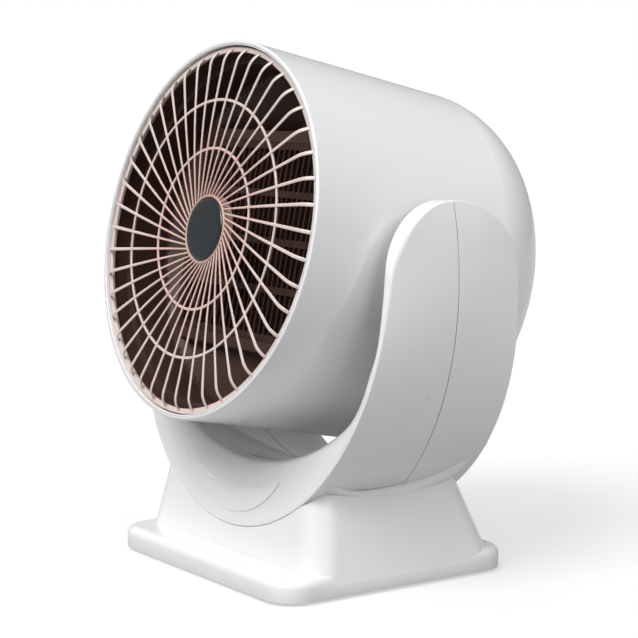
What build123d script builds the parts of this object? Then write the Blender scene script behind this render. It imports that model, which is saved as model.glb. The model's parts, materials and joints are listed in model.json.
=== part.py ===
from build123d import *

import os
from math import asin, atan, cos, degrees, radians, sin, sqrt, tan

# Desktop fan heater: a tilting round head in a U-shaped yoke on a tapered pedestal.
# Millimetres, +Z up. The origin lies on the floor, straight below the tilt axis.
# The head faces -Y and the tilt axis is parallel to X.

os.makedirs("parts", exist_ok=True)

# Clearances, walls and screws
seam_gap = 0.4  # joint line between two moulded shells
head_seam_gap = 0.1  # tight joint line round the head
seat_gap = 0.2  # between a piece and the pocket it sits in
shaft_gap = 0.05  # radial, a turning shaft in its hole
free_gap = 1.5  # round a piece that must pass without touching
cut_past = 1.0  # a cut runs this far past the face that it opens
wall = 2.6  # moulded shells
screw_radius = 1.5
screw_head_radius = 2.8
screw_head_height = 1.8
post_radius = 4.2  # posts and lugs that take a screw

# Tilt axis and head attitude
pivot_height = 140.4
head_tilt = 12.0  # degrees up from level at rest

# Head housing, lengths measured forward from the tilt axis
lip_forward = 66.5  # front rim of the barrel
joint_back = 35.0  # joint between front and rear housing, behind the tilt axis
rear_length = 78.0  # back end, behind the tilt axis
lip_radius = 83.6
joint_radius = 82.0
rear_round = 42.0
lip_thickness = 2.2
lip_round = 0.8
boss_radius = 16.0
boss_reach = 86.7  # outer face of each pivot boss, from the middle
head_screw_count = 4
head_screw_angle = 45.0
head_lug_length = 6.5
head_lug_sunk = 0.5  # each lug reaches this far into the barrel's wall
screw_floor = 1.0  # left under a blind screw hole

# Front grille
grille_ring_width = 2.4
grille_ring_depth = 9.0
grille_recess = 0.6  # ring's front face behind the lip
bar_count = 44
bar_root_width = 0.9  # at the hub
bar_tip_width = 1.9  # at the rim
bar_depth = 1.4
bar_offset = 8.5  # each bar's centre line is tangent to a circle this large
bar_turn = -11.6  # degrees, where the first bar lies
crown_forward = 68.0  # foremost circle of the bars
crown_cut = 12.0  # height of the slice that the bars are cut from
hub_dish = 2.3  # the bars fall back this far at the hub
rim_dish = 2.6  # and this far at the rim
outer_circle_radius = 57.0
inner_circle_radius = 35.7
circle_width = 1.6
hub_radius = 14.0
hub_ring_width = 1.1
hub_ring_depth = 5.0
hub_ring_proud = 0.4  # in front of the bars
hub_cap_depth = 4.0
hub_cap_round = 1.2

# Rear guard
guard_radius = 66.0
guard_thickness = 2.4
guard_slot_count = 36
guard_slot_width = 3.0
guard_slot_near = 41.0  # inner end of the long slots
guard_slot_far = 59.0
guard_short_near = 22.0  # inner end of the short slots
guard_short_far = 37.0

# Air duct and heating element
duct_radius = 77.0
duct_thickness = 1.6
duct_front = 56.0
duct_back = -18.0
duct_flange = 2.0
element_front = 38.0
element_depth = 16.0
web_thickness = 3.0
frame_rim = 5.0
element_width = 104.0
element_height = 88.0
ceramic_count = 5
ceramic_thickness = 3.0
fin_pitch = 4.0
fin_thickness = 1.0
terminal_width = 6.0
terminal_thickness = 0.8
terminal_length = 13.0
cutout_radius = 7.0
cutout_depth = 6.0
cutout_tab_width = 1.0
cutout_tab_length = 7.0

# Motor and fan
motor_radius = 23.0
motor_length = 30.0
motor_front = 6.0
motor_edge_round = 2.0
bearing_radius = 6.0
bearing_height = 1.6
bracket_arms = 4
bracket_arm_width = 7.0
bracket_thickness = 3.0
collar_thickness = 2.5
collar_length = 9.0
shaft_radius = 2.5
shaft_depth = 18.0  # the shaft's length inside the motor
shaft_end_room = 1.0  # past the shaft's end
fan_radius = 67.0
fan_hub_radius = 19.0
fan_depth = 17.0
fan_gap = 4.0  # behind the motor
blade_count = 7
blade_thickness = 1.8
blade_pitch = 32.0
blade_root = 6.0  # each blade starts this far inside the hub
nut_radius = 5.0
nut_height = 4.0

# Tilt pivots
pin_radius = 7.0
pin_bore = 3.5
pin_flange_radius = 11.0
pin_flange_thickness = 2.4
pin_flange_clear = 1.4  # bosses' inner ends outside the duct
pin_depth = 4.4  # into each arm
pad_reach = 88.6  # inner face of each arm's bearing pad, from the middle
pad_radius = 15.0
washer_radius = 13.0
washer_thickness = 1.6

# Yoke: its middle and edge sections, seen from the front
arm_centre_height = 135.0
arm_top_radius = 34.5  # rounded top of each arm, seen from the side
yoke_lean = 9.0  # degrees, front face from the vertical
yoke_mid_half_width = 97.3
yoke_mid_depth = 116.0  # half ellipse below the arms' centre height
yoke_edge_half_width = 94.5
yoke_edge_centre = 117.0  # half circle below this height
yoke_edge_lean_in = 0.3
yoke_section_top = 176.4  # the sections end above the arms' tops
yoke_section_margin = 6.0  # the edge sections stand this far outside the faces
hollow_front_half_width = 91.5
hollow_rear_half_width = 90.0
hollow_centre = 113.0
hollow_top = 140.0  # half ellipse above the centre
hollow_front_depth = 59.6  # half ellipse below the centre, at the front face
hollow_rear_depth = 84.0
foot_half_width = 58.0  # room for the boards in the yoke's foot
foot_top = 66.0
channel_depth = 1.0  # flat wire channel up each arm
channel_width = 8.0
channel_inset = 1.0

# Touch panel: a crescent between two arcs on the front face
panel_top_radius = 80.0
panel_top_centre = 117.0
panel_low_radius = 43.0
panel_low_centre = 70.0
panel_thickness = 1.4

# Base
plate_width = 140.0
plate_depth = 124.0
plate_centre = -8.0
plate_height = 11.0
plate_corner = 14.0
plate_round = 4.0
foot_gap = 1.2  # plate's underside above the floor
pedestal_half_width = 69.0  # at the plate's top
pedestal_side_slope = 0.215
pedestal_back = 46.0
pedestal_back_slope = 0.39
pedestal_corner = 13.0
pedestal_top = 48.0
saddle_thickness = 2.6  # rim that hugs the yoke and rises behind it
saddle_low = 34.0
saddle_front = -30.0  # Y where the rim starts
saddle_front_height = 44.0
saddle_knee = 14.0  # Y where it starts to rise
saddle_knee_height = 46.0
saddle_rear_height = 59.0
cover_thickness = 2.6
pad_foot_radius = 8.0
pad_foot_height = 2.6
foot_inset = 17.0

# Ballast, boards and switches
ballast_width = 64.0
ballast_depth = 26.0
ballast_height = 5.0
ballast_back = -24.0  # Y of the weight's middle
ballast_corner = 3.0
board_thickness = 1.6
board_gap = 2.0  # under a board, on its pads
board_pad_radius = 2.5
control_board_width = 52.0
control_board_height = 11.0
power_board_width = 66.0
power_board_depth = 24.0
power_board_back = 20.0
relay_width = 13.0
relay_depth = 12.0
relay_height = 9.0
relay_spacing = 46.0
yoke_screw_spacing = 36.0
yoke_screw_back = 9.0  # in front of and behind the joint plane
yoke_screw_length = 13.0
yoke_boss_clear = 4.0  # from the power board up to the yoke screws' heads
base_screw_length = 7.5
base_screw_spare = 0.5  # left past each base screw's end
base_screw_spacing_x = 96.0
base_screw_spacing_y = 70.0
tip_width = 16.0
tip_depth = 14.0
tip_height = 9.0
tip_x = 46.0
tip_back = 11.0
plunger_radius = 2.4
plunger_collar = 3.6
plunger_collar_height = 1.6
plunger_travel = 3.0
rocker_width = 15.0
rocker_height = 12.0
rocker_depth = 10.0
rocker_rim = 1.6
rocker_rim_proud = 1.2
rocker_swing = 7.0  # degrees to each side of the middle
rocker_pivot_depth = 2.0  # the key's axis behind the pedestal's face
rocker_tail = 1.6  # the key behind its axis
rocker_pin_radius = 0.9
rocker_pin_depth = 0.9  # into each side of the frame
rocker_rock_room = 1.0  # the key's ends stay clear of a sweep this much larger
rocker_x = -41.0
inlet_height = 19.5  # switch and cord inlet on the pedestal's back
gland_x = 41.0
gland_radius = 5.5
gland_bore = 3.4
gland_flange_radius = 8.0
gland_flange = 2.0
gland_length = 12.0
gland_taper = 20.0  # degrees

# Worked out from the sizes above
tilt = radians(head_tilt)
lean = radians(yoke_lean)
pivot = Vector(0, 0, pivot_height)
forward = Vector(0, -cos(tilt), sin(tilt))
head_axis = Axis(pivot, forward)
head = Plane(origin=pivot, x_dir=(1, 0, 0), z_dir=forward)  # cross-sections of the head
head_side = Plane(origin=pivot, x_dir=forward, z_dir=(-1, 0, 0))  # x forward, y outward
tangent_y = -arm_top_radius * cos(lean)
tangent_z = arm_centre_height + arm_top_radius * sin(lean)
front_face = Plane(origin=(0, tangent_y, tangent_z), x_dir=(1, 0, 0), z_dir=(0, -cos(lean), sin(lean)))
inward = (0, cos(lean), -sin(lean))  # into the yoke, square to its front face
sides = (1, -1)
far = 3 * rear_length  # longer than any cut


def front_y(height):
    """Y of the yoke's leaning front face at a height."""
    return tangent_y - tan(lean) * (tangent_z - height)


def on_face(height):
    """Distance up the front face, from its origin, of a point at a height."""
    return (height - tangent_z) / cos(lean)


def upright(height):
    """Height on an upright plane: the height itself."""
    return height


def barrel_radius(station):
    """Outer radius of the barrel at a station forward of the tilt axis."""
    share = (station + joint_back) / (lip_forward + joint_back)
    return joint_radius + (lip_radius - joint_radius) * share


def bore_radius(station):
    """Inner radius of the front housing at a station."""
    front_bore = lip_radius - lip_thickness
    joint_bore = joint_radius - wall
    share = (station + joint_back) / (lip_forward + joint_back)
    return joint_bore + (front_bore - joint_bore) * share


def ring_section(back, front, inner, outer):
    """Section of a square-edged ring about the head's axis, as (forward, radius) points."""
    return [(back, inner), (front, inner), (front, outer), (back, outer)]


def revolve_head(points):
    """Turns a closed outline of (forward, radius) points about the head's axis."""
    with BuildSketch(head_side) as outline:
        with BuildLine():
            Polyline(*points, close=True)
        make_face()
    revolve(outline.sketch, axis=head_axis)


def sideways(side):
    """Plane through the tilt axis that looks outwards to one side."""
    return Plane(origin=pivot, z_dir=(side, 0, 0))


def save(part, label):
    """Labels a finished piece and writes it to its own file."""
    part.label = label
    export_step(part, f"parts/{label}.step")


# Head: front housing
boss_inner = duct_radius + pin_flange_clear
with BuildPart() as front_housing:
    revolve_head(
        [
            (lip_forward, bore_radius(lip_forward)),
            (lip_forward, barrel_radius(lip_forward)),
            (-joint_back + head_seam_gap, barrel_radius(-joint_back)),
            (-joint_back + head_seam_gap, bore_radius(-joint_back)),
        ]
    )
    lip_edges = front_housing.edges().filter_by(GeomType.CIRCLE).sort_by(SortBy.RADIUS)[-1:]
    fillet(lip_edges, radius=lip_round)
    for side in sides:
        with BuildSketch(sideways(side).offset(boss_inner)):
            Circle(boss_radius)
        extrude(amount=boss_reach - boss_inner)
        with BuildSketch(sideways(side)):
            Circle(pin_radius + shaft_gap)
        extrude(amount=boss_reach, mode=Mode.SUBTRACT)
    lug_circle = joint_radius - wall - post_radius + head_lug_sunk
    with BuildSketch(head.offset(-joint_back + head_seam_gap)):
        with PolarLocations(lug_circle, head_screw_count, start_angle=head_screw_angle):
            Circle(post_radius)
    extrude(amount=head_lug_length)
    with BuildSketch(head.offset(-joint_back + head_seam_gap)):
        with PolarLocations(lug_circle, head_screw_count, start_angle=head_screw_angle):
            Circle(screw_radius + shaft_gap)
    extrude(amount=head_lug_length - screw_floor, mode=Mode.SUBTRACT)
save(front_housing.part, "front_housing")

# Head: rear housing, a quarter round that ends at the guard's seat
round_centre_back = rear_length - rear_round
round_centre_radius = joint_radius - rear_round


def round_point(radius, angle):
    """Point of the rear round at an angle from the barrel's side towards the back."""
    a = radians(angle)
    return (-round_centre_back - radius * sin(a), round_centre_radius + radius * cos(a))


seat_angle = 90 - degrees(asin((guard_radius - round_centre_radius) / rear_round))
inner_round = rear_round - wall
with BuildPart() as rear_housing:
    with BuildSketch(head_side):
        with BuildLine():
            start = (-joint_back, joint_radius)
            l1 = Line(start, round_point(rear_round, 0))
            a1 = ThreePointArc(
                round_point(rear_round, 0),
                round_point(rear_round, seat_angle / 2),
                round_point(rear_round, seat_angle),
            )
            l2 = Line(a1 @ 1, round_point(inner_round, seat_angle))
            a2 = ThreePointArc(l2 @ 1, round_point(inner_round, seat_angle / 2), round_point(inner_round, 0))
            l3 = Line(a2 @ 1, (-joint_back, joint_radius - wall))
            l4 = Line(l3 @ 1, start)
        make_face()
    revolve(axis=head_axis)
    with BuildSketch(head.offset(-joint_back)):
        with PolarLocations(lug_circle, head_screw_count, start_angle=head_screw_angle):
            Circle(post_radius)
    extrude(amount=-head_lug_length)
    with BuildSketch(head.offset(-joint_back)):
        with PolarLocations(lug_circle, head_screw_count, start_angle=head_screw_angle):
            Circle(screw_radius + seat_gap)
    extrude(amount=-head_lug_length, mode=Mode.SUBTRACT)
save(rear_housing.part, "rear_housing")

with BuildPart() as head_screws:
    with BuildSketch(head.offset(-joint_back - head_lug_length)):
        with PolarLocations(lug_circle, head_screw_count, start_angle=head_screw_angle):
            Circle(screw_head_radius)
    extrude(amount=-screw_head_height)
    with BuildSketch(head.offset(-joint_back - head_lug_length)):
        with PolarLocations(lug_circle, head_screw_count, start_angle=head_screw_angle):
            Circle(screw_radius)
    extrude(amount=2 * (head_lug_length - screw_floor))
save(head_screws.part, "head_screws")

# Head: rear guard, the slotted cap that closes the round
guard_angle = seat_angle + degrees(seam_gap / rear_round)
inner_guard = rear_round - guard_thickness
with BuildPart() as rear_guard:
    with BuildSketch(head_side):
        with BuildLine():
            middle = (guard_angle + 90) / 2
            a1 = ThreePointArc(
                round_point(rear_round, guard_angle),
                round_point(rear_round, middle),
                round_point(rear_round, 90),
            )
            l1 = Line(a1 @ 1, (-rear_length, 0))
            l2 = Line(l1 @ 1, (-rear_length + guard_thickness, 0))
            l3 = Line(l2 @ 1, round_point(inner_guard, 90))
            a2 = ThreePointArc(
                l3 @ 1,
                round_point(inner_guard, middle),
                round_point(inner_guard, guard_angle),
            )
            l4 = Line(a2 @ 1, a1 @ 0)
        make_face()
    revolve(axis=head_axis)
    with BuildSketch(head.offset(-rear_length)):
        with PolarLocations((guard_slot_near + guard_slot_far) / 2, guard_slot_count):
            SlotOverall(guard_slot_far - guard_slot_near, guard_slot_width)
        with PolarLocations((guard_short_near + guard_short_far) / 2, guard_slot_count // 2):
            SlotOverall(guard_short_far - guard_short_near, guard_slot_width)
    extrude(amount=rear_round, mode=Mode.SUBTRACT)
save(rear_guard.part, "rear_guard")

# Head: front grille
ring_front = lip_forward - grille_recess
ring_back = ring_front - grille_ring_depth
ring_outer = bore_radius(ring_back) - seat_gap
ring_inner = ring_outer - grille_ring_width
bar_end = ring_outer - grille_ring_width / 2
hub_outer = hub_radius + hub_ring_width


def crown(radius):
    """Front of the bars at a radius: highest at the outer circle, falling to the hub and the rim."""
    if radius < outer_circle_radius:
        share = (outer_circle_radius - radius) / (outer_circle_radius - hub_radius)
        return crown_forward - hub_dish * share**2
    share = (radius - outer_circle_radius) / (ring_inner - outer_circle_radius)
    return crown_forward - rim_dish * share**2


with BuildPart() as front_grille:
    with BuildSketch(head.offset(crown_forward - crown_cut)):
        bar_start = sqrt(hub_radius**2 - bar_offset**2) - bar_root_width
        bar_stop = sqrt(bar_end**2 - bar_offset**2)
        with BuildLine(mode=Mode.PRIVATE) as taper:
            Polyline(
                (bar_start, bar_offset - bar_root_width / 2),
                (bar_stop, bar_offset - bar_tip_width / 2),
                (bar_stop, bar_offset + bar_tip_width / 2),
                (bar_start, bar_offset + bar_root_width / 2),
                close=True,
            )
        with PolarLocations(0, bar_count, start_angle=bar_turn):
            add(make_face(taper.edges(), mode=Mode.PRIVATE))
    extrude(amount=2 * crown_cut)
    stations = [
        hub_radius,
        (hub_radius + inner_circle_radius) / 2,
        inner_circle_radius,
        (inner_circle_radius + outer_circle_radius) / 2,
        outer_circle_radius,
        (outer_circle_radius + bar_end) / 2,
        bar_end,
    ]
    front_line = [(crown(r), r) for r in stations]
    back_line = [(crown(r) - bar_depth, r) for r in reversed(stations)]
    with BuildSketch(head_side):
        with BuildLine():
            Spline(*front_line)
            Line(front_line[-1], back_line[0])
            Spline(*back_line)
            Line(back_line[-1], front_line[0])
        make_face()
    revolve(axis=head_axis, mode=Mode.INTERSECT)
    for radius in (outer_circle_radius, inner_circle_radius):
        high = crown(radius)
        near = radius - circle_width / 2
        revolve_head(ring_section(high - bar_depth, high, near, near + circle_width))
    hub_front = crown(hub_radius) + hub_ring_proud
    revolve_head(ring_section(ring_back, ring_front, ring_inner, ring_outer))
    revolve_head(ring_section(hub_front - hub_ring_depth, hub_front, hub_radius, hub_outer))
save(front_grille.part, "front_grille")

with BuildPart() as hub_cap:
    with BuildSketch(head.offset(hub_front + hub_cap_round / 2)):
        Circle(hub_radius - seat_gap)
    extrude(amount=-hub_cap_depth)
    fillet(hub_cap.edges().filter_by(GeomType.CIRCLE).sort_by(head_axis)[-1:], radius=hub_cap_round)
save(hub_cap.part, "hub_cap")

# Head: air duct and heating element
duct_bore = duct_radius - duct_thickness
with BuildPart() as air_duct:
    revolve_head(ring_section(duct_back, duct_front, duct_bore, duct_radius))
    for low in (duct_back, duct_front - duct_flange):
        revolve_head(ring_section(low, low + duct_flange, duct_bore, bore_radius(low) - seat_gap))
    # clear the flanges of the pivot pins
    for side in sides:
        with BuildSketch(sideways(side)):
            Circle(pin_flange_radius + free_gap)
        extrude(amount=far, mode=Mode.SUBTRACT)
save(air_duct.part, "air_duct")

frame_radius = duct_bore - seat_gap
frame_back = element_front - element_depth
web_back = element_front - (element_depth + web_thickness) / 2
web_front = web_back + web_thickness
with BuildPart() as element_frame:
    with BuildSketch(head.offset(frame_back)):
        Circle(frame_radius)
        Rectangle(element_width, element_height, mode=Mode.SUBTRACT)
    extrude(amount=element_depth)
    # thin the web, so that only the rim and the window's border stay full depth
    for low, high in ((frame_back, web_back), (web_front, element_front)):
        with BuildSketch(head.offset(low)):
            Circle(frame_radius - frame_rim)
            Rectangle(element_width + 2 * frame_rim, element_height + 2 * frame_rim, mode=Mode.SUBTRACT)
        extrude(amount=high - low, mode=Mode.SUBTRACT)
save(element_frame.part, "element_frame")

core_height = element_height - 2 * seat_gap
core_width = element_width - 2 * seat_gap
row_pitch = (core_height - ceramic_thickness) / (ceramic_count - 1)
fin_count = int((core_width - fin_thickness) // fin_pitch) + 1
with BuildPart() as ptc_element:
    with BuildSketch(head.offset(frame_back)):
        with GridLocations(1, row_pitch, 1, ceramic_count):
            Rectangle(core_width, ceramic_thickness)
        with GridLocations(fin_pitch, 1, fin_count, 1):
            Rectangle(fin_thickness, core_height)
    extrude(amount=element_depth)
save(ptc_element.part, "ptc_element")

with BuildPart() as element_terminals:
    with BuildSketch(head.offset(frame_back)):
        with GridLocations(core_width - 2 * terminal_width, 1, 2, 1):
            Rectangle(terminal_width, terminal_thickness)
    extrude(amount=-terminal_length)
save(element_terminals.part, "element_terminals")

with BuildPart() as thermal_cutout:
    # stands on the thinned web above the element's window
    web_middle = (element_height / 2 + frame_radius) / 2
    with BuildSketch(head.offset(web_back)):
        with Locations((0, web_middle)):
            Circle(cutout_radius)
    extrude(amount=-cutout_depth)
    with BuildSketch(head.offset(web_back - cutout_depth)):
        with Locations((0, web_middle)):
            with GridLocations(cutout_radius, 1, 2, 1):
                Rectangle(cutout_tab_width, cutout_radius / 2)
    extrude(amount=-cutout_tab_length)
save(thermal_cutout.part, "thermal_cutout")

# Head: motor and its bracket
motor_back = motor_front - motor_length
bracket_back = motor_front - bracket_thickness
bracket_radius = duct_bore - seat_gap
collar_radius = motor_radius + collar_thickness
with BuildPart() as motor_bracket:
    with BuildSketch(head.offset(bracket_back)):
        Circle(bracket_radius)
        Circle(bracket_radius - frame_rim, mode=Mode.SUBTRACT)
        arm_length = bracket_radius - motor_radius - frame_rim / 2
        with PolarLocations((motor_radius + bracket_radius) / 2, bracket_arms, start_angle=45):
            Rectangle(arm_length, bracket_arm_width)
        Circle(collar_radius)
        Circle(motor_radius + seat_gap, mode=Mode.SUBTRACT)
    extrude(amount=bracket_thickness)
    with BuildSketch(head.offset(bracket_back)):
        Circle(collar_radius)
        Circle(motor_radius + seat_gap, mode=Mode.SUBTRACT)
    extrude(amount=bracket_thickness - collar_length)
save(motor_bracket.part, "motor_bracket")

with BuildPart() as fan_motor:
    with BuildSketch(head.offset(motor_back)):
        Circle(motor_radius)
    extrude(amount=motor_length)
    fillet(fan_motor.edges().filter_by(GeomType.CIRCLE), radius=motor_edge_round)
    with BuildSketch(head.offset(motor_back)):
        Circle(bearing_radius)
    extrude(amount=-bearing_height)
    with BuildSketch(head.offset(motor_back - bearing_height)):
        Circle(shaft_radius + shaft_gap)
    extrude(amount=bearing_height + shaft_depth + shaft_end_room, mode=Mode.SUBTRACT)
save(fan_motor.part, "fan_motor")

# Fan: shaft, impeller and nut
fan_front = motor_back - fan_gap
fan_back = fan_front - fan_depth
with BuildPart() as motor_shaft:
    with BuildSketch(head.offset(fan_back - nut_height)):
        Circle(shaft_radius)
    extrude(amount=motor_back + shaft_depth - fan_back + nut_height)
save(motor_shaft.part, "motor_shaft")

with BuildPart(head) as fan_impeller:
    blade_span = fan_radius - fan_hub_radius + 2 * blade_root
    blade_middle = (fan_front + fan_back) / 2
    blade_centre = fan_hub_radius - blade_root + blade_span / 2
    with PolarLocations(0, blade_count):
        with Locations(Location((blade_centre, 0, blade_middle), (blade_pitch, 0, 0))):
            Box(blade_span, 2 * fan_depth, blade_thickness)
    # round the blade tips and trim the blades to the fan's own depth
    with BuildSketch(head.offset(fan_back)):
        Circle(fan_radius)
    extrude(amount=fan_depth, mode=Mode.INTERSECT)
    with BuildSketch(head.offset(fan_back)):
        Circle(fan_hub_radius)
    extrude(amount=fan_depth)
    with BuildSketch(head.offset(fan_back)):
        Circle(shaft_radius + shaft_gap)
    extrude(amount=fan_depth, mode=Mode.SUBTRACT)
save(fan_impeller.part, "fan_impeller")

with BuildPart() as impeller_nut:
    with BuildSketch(head.offset(fan_back)):
        RegularPolygon(nut_radius, 6)
        Circle(shaft_radius + shaft_gap, mode=Mode.SUBTRACT)
    extrude(amount=-nut_height)
save(impeller_nut.part, "impeller_nut")

# Tilt pivots: hollow flanged pins, fixed in the head's bosses
pin_end = pad_reach + pin_depth
with BuildPart() as pivot_pins:
    for side in sides:
        flange_plane = sideways(side).offset(boss_inner - pin_flange_thickness)
        with BuildSketch(flange_plane):
            Circle(pin_flange_radius)
        extrude(amount=pin_flange_thickness)
        with BuildSketch(flange_plane):
            Circle(pin_radius)
        extrude(amount=pin_end - boss_inner + pin_flange_thickness)
        with BuildSketch(flange_plane):
            Circle(pin_bore)
        extrude(amount=far, mode=Mode.SUBTRACT)
save(pivot_pins.part, "pivot_pins")

with BuildPart() as friction_washers:
    for side in sides:
        with BuildSketch(sideways(side).offset(pad_reach - washer_thickness)):
            Circle(washer_radius)
            Circle(pin_radius + shaft_gap, mode=Mode.SUBTRACT)
        extrude(amount=washer_thickness)
save(friction_washers.part, "friction_washers")


# Yoke
def yoke_outline(plane, up, half_width, centre, depth, lean_in):
    """U-shaped section on a plane: a half ellipse below its centre and two arms above it.

    up turns a height into the plane's own y, and the arms' tops lean in by lean_in.
    """
    high = up(yoke_section_top)
    middle = up(centre)
    with BuildSketch(plane) as section:
        with BuildLine():
            EllipticalCenterArc((0, middle), half_width, depth, start_angle=180, arc_size=180)
            bulge = lean_in / 4
            half_up = (middle + high) / 2
            ThreePointArc((half_width, middle), (half_width - bulge, half_up), (half_width - lean_in, high))
            Line((half_width - lean_in, high), (lean_in - half_width, high))
            ThreePointArc((lean_in - half_width, high), (bulge - half_width, half_up), (-half_width, middle))
        make_face()
    return section.sketch


def yoke_bulk(grow):
    """The yoke's outside as a closed crowned block, grown sideways and down by a distance."""
    front_plane = front_face.offset(yoke_section_margin)
    rear_plane = Plane.XZ.offset(-arm_top_radius - yoke_section_margin)
    edge = yoke_edge_half_width + grow
    edge_sizes = (edge, yoke_edge_centre, edge, yoke_edge_lean_in)
    middle_depth = yoke_mid_depth + grow
    middle_sizes = (yoke_mid_half_width + grow, arm_centre_height, middle_depth, yoke_mid_lean_in)
    with BuildPart() as bulk:
        loft(
            [
                yoke_outline(front_plane, on_face, *edge_sizes),
                yoke_outline(Plane.XZ, upright, *middle_sizes),
                yoke_outline(rear_plane, upright, *edge_sizes),
            ]
        )
    return bulk.part


def yoke_hollow(shrink):
    """The space between the arms as a solid, made smaller all round by a distance."""
    rear_plane = Plane.XZ.offset(-arm_top_radius - yoke_section_margin)
    sections = []
    for plane, up, half_width, depth in (
        (front_face.offset(yoke_section_margin), on_face, hollow_front_half_width, hollow_front_depth),
        (rear_plane, upright, hollow_rear_half_width, hollow_rear_depth),
    ):
        with BuildSketch(plane) as section:
            with BuildLine():
                middle = (0, up(hollow_centre))
                across = half_width - shrink
                EllipticalCenterArc(middle, across, depth - shrink, start_angle=180, arc_size=180)
                EllipticalCenterArc(middle, across, hollow_top - shrink, start_angle=0, arc_size=180)
            make_face()
        sections.append(section.sketch)
    with BuildPart() as hollow:
        loft(sections, ruled=True)
    return hollow.part


def yoke_side(inset):
    """The yoke's outline seen from the side: a round top, a leaning front and an upright back."""
    radius = arm_top_radius - inset
    tangent = (-radius * cos(lean), arm_centre_height + radius * sin(lean))
    front_low = tangent[0] - tan(lean) * tangent[1]
    with BuildSketch(Plane.YZ) as outline:
        with BuildLine():
            ThreePointArc((radius, arm_centre_height), (0, arm_centre_height + radius), tangent)
            Polyline(tangent, (front_low, 0), (radius, 0), (radius, arm_centre_height))
        make_face()
    return outline.sketch


yoke_mid_lean_in = yoke_mid_half_width * (
    1 - sqrt(1 - ((yoke_section_top - arm_centre_height) / yoke_mid_depth) ** 2)
)
skin = wall + seam_gap  # walls round the yoke's foot
screw_places = [(x * yoke_screw_spacing / 2, y * yoke_screw_back) for x in sides for y in sides]

with BuildPart() as yoke:
    add(yoke_bulk(0))
    extrude(yoke_side(0), amount=far, both=True, mode=Mode.INTERSECT)
    add(yoke_hollow(0), mode=Mode.SUBTRACT)
    # bearing pad inside each arm, in a round recess that clears the head's boss
    for side in sides:
        with BuildSketch(sideways(side)):
            Circle(boss_radius + 2 * seam_gap)
        extrude(amount=pad_reach, mode=Mode.SUBTRACT)
        with BuildSketch(sideways(side).offset(pad_reach)):
            Circle(pad_radius)
        extrude(amount=pin_depth)

# Room inside the yoke's foot for the boards, round the screw posts and the board's pads
pad_places = [(x * (control_board_width / 2 - board_pad_radius), 0) for x in sides]
panel_middle = (panel_top_centre - panel_top_radius + panel_low_centre - panel_low_radius) / 2
board_middle = on_face(panel_middle + control_board_height / 2)
with BuildPart() as foot_room:
    add(yoke_bulk(-skin))
    extrude(yoke_side(skin), amount=far, both=True, mode=Mode.INTERSECT)
    add(yoke_hollow(-skin), mode=Mode.SUBTRACT)
    with Locations((0, 0, foot_top / 2)):
        Box(2 * foot_half_width, far, foot_top, mode=Mode.INTERSECT)
    with BuildSketch(Plane.XY):
        with Locations(*screw_places):
            Circle(post_radius)
    extrude(amount=foot_top, mode=Mode.SUBTRACT)
    with BuildSketch(front_face):
        with Locations((0, board_middle)):
            with Locations(*pad_places):
                Circle(board_pad_radius)
    extrude(amount=-skin - board_gap, mode=Mode.SUBTRACT)

# Wire channel up each arm, on the joint plane
with BuildPart() as channels:
    outer_inset = channel_inset
    inner_inset = channel_inset + channel_depth
    with BuildSketch(Plane.XZ.offset(-channel_width / 2)):
        with Locations((0, arm_centre_height)):
            Ellipse(yoke_mid_half_width - outer_inset, yoke_mid_depth - outer_inset)
            Ellipse(yoke_mid_half_width - inner_inset, yoke_mid_depth - inner_inset, mode=Mode.SUBTRACT)
        channel_low = foot_top - channel_width
        with Locations((0, (channel_low + pivot_height) / 2)):
            Rectangle(far, pivot_height - channel_low, mode=Mode.INTERSECT)
    extrude(amount=channel_width)


def panel_outline(grow):
    """The crescent on the front face, grown all round by a distance."""
    with BuildSketch(front_face) as crescent:
        with Locations((0, on_face(panel_low_centre))):
            Circle(panel_low_radius + grow)
        with Locations((0, on_face(panel_top_centre))):
            Circle(panel_top_radius - grow, mode=Mode.SUBTRACT)
    return crescent.sketch


with BuildPart() as control_panel:
    extrude(panel_outline(0), amount=panel_thickness, dir=inward)
save(control_panel.part, "control_panel")

with BuildPart() as control_board:
    with BuildSketch(front_face.offset(-skin - board_gap)):
        with Locations((0, board_middle)):
            Rectangle(control_board_width, control_board_height)
    extrude(amount=-board_thickness)
save(control_board.part, "control_board")

for label, side in (("yoke_front_shell", -1), ("yoke_rear_shell", 1)):
    with BuildPart() as shell:
        add(yoke.part)
        add(foot_room.part, mode=Mode.SUBTRACT)
        add(channels.part, mode=Mode.SUBTRACT)
        for arm in sides:
            with BuildSketch(sideways(arm)):
                Circle(pin_radius + shaft_gap)
            extrude(amount=pin_end + seam_gap, mode=Mode.SUBTRACT)
            with BuildSketch(sideways(arm)):
                Circle(pin_bore)
            extrude(amount=yoke_mid_half_width - channel_inset - channel_depth / 2, mode=Mode.SUBTRACT)
        with BuildSketch(Plane.XY):
            with Locations(*screw_places):
                Circle(screw_radius + shaft_gap)
        extrude(amount=foot_top / 2, mode=Mode.SUBTRACT)
        extrude(panel_outline(seat_gap), amount=panel_thickness, dir=inward, mode=Mode.SUBTRACT)
        # keep one side of the joint plane
        with Locations((0, side * (far / 2 + seam_gap / 2), 0)):
            Box(far, far, 3 * far, mode=Mode.INTERSECT)
    save(shell.part, label)

# Base
cover_top = foot_gap + cover_thickness


def plate_outline(height, inset):
    """The plate's rounded rectangle at a height, made smaller all round by a distance."""
    with BuildSketch(Plane.XY.offset(height)) as outline:
        with Locations((0, plate_centre)):
            RectangleRounded(plate_width - 2 * inset, plate_depth - 2 * inset, plate_corner - inset)
    return outline.sketch


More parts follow.
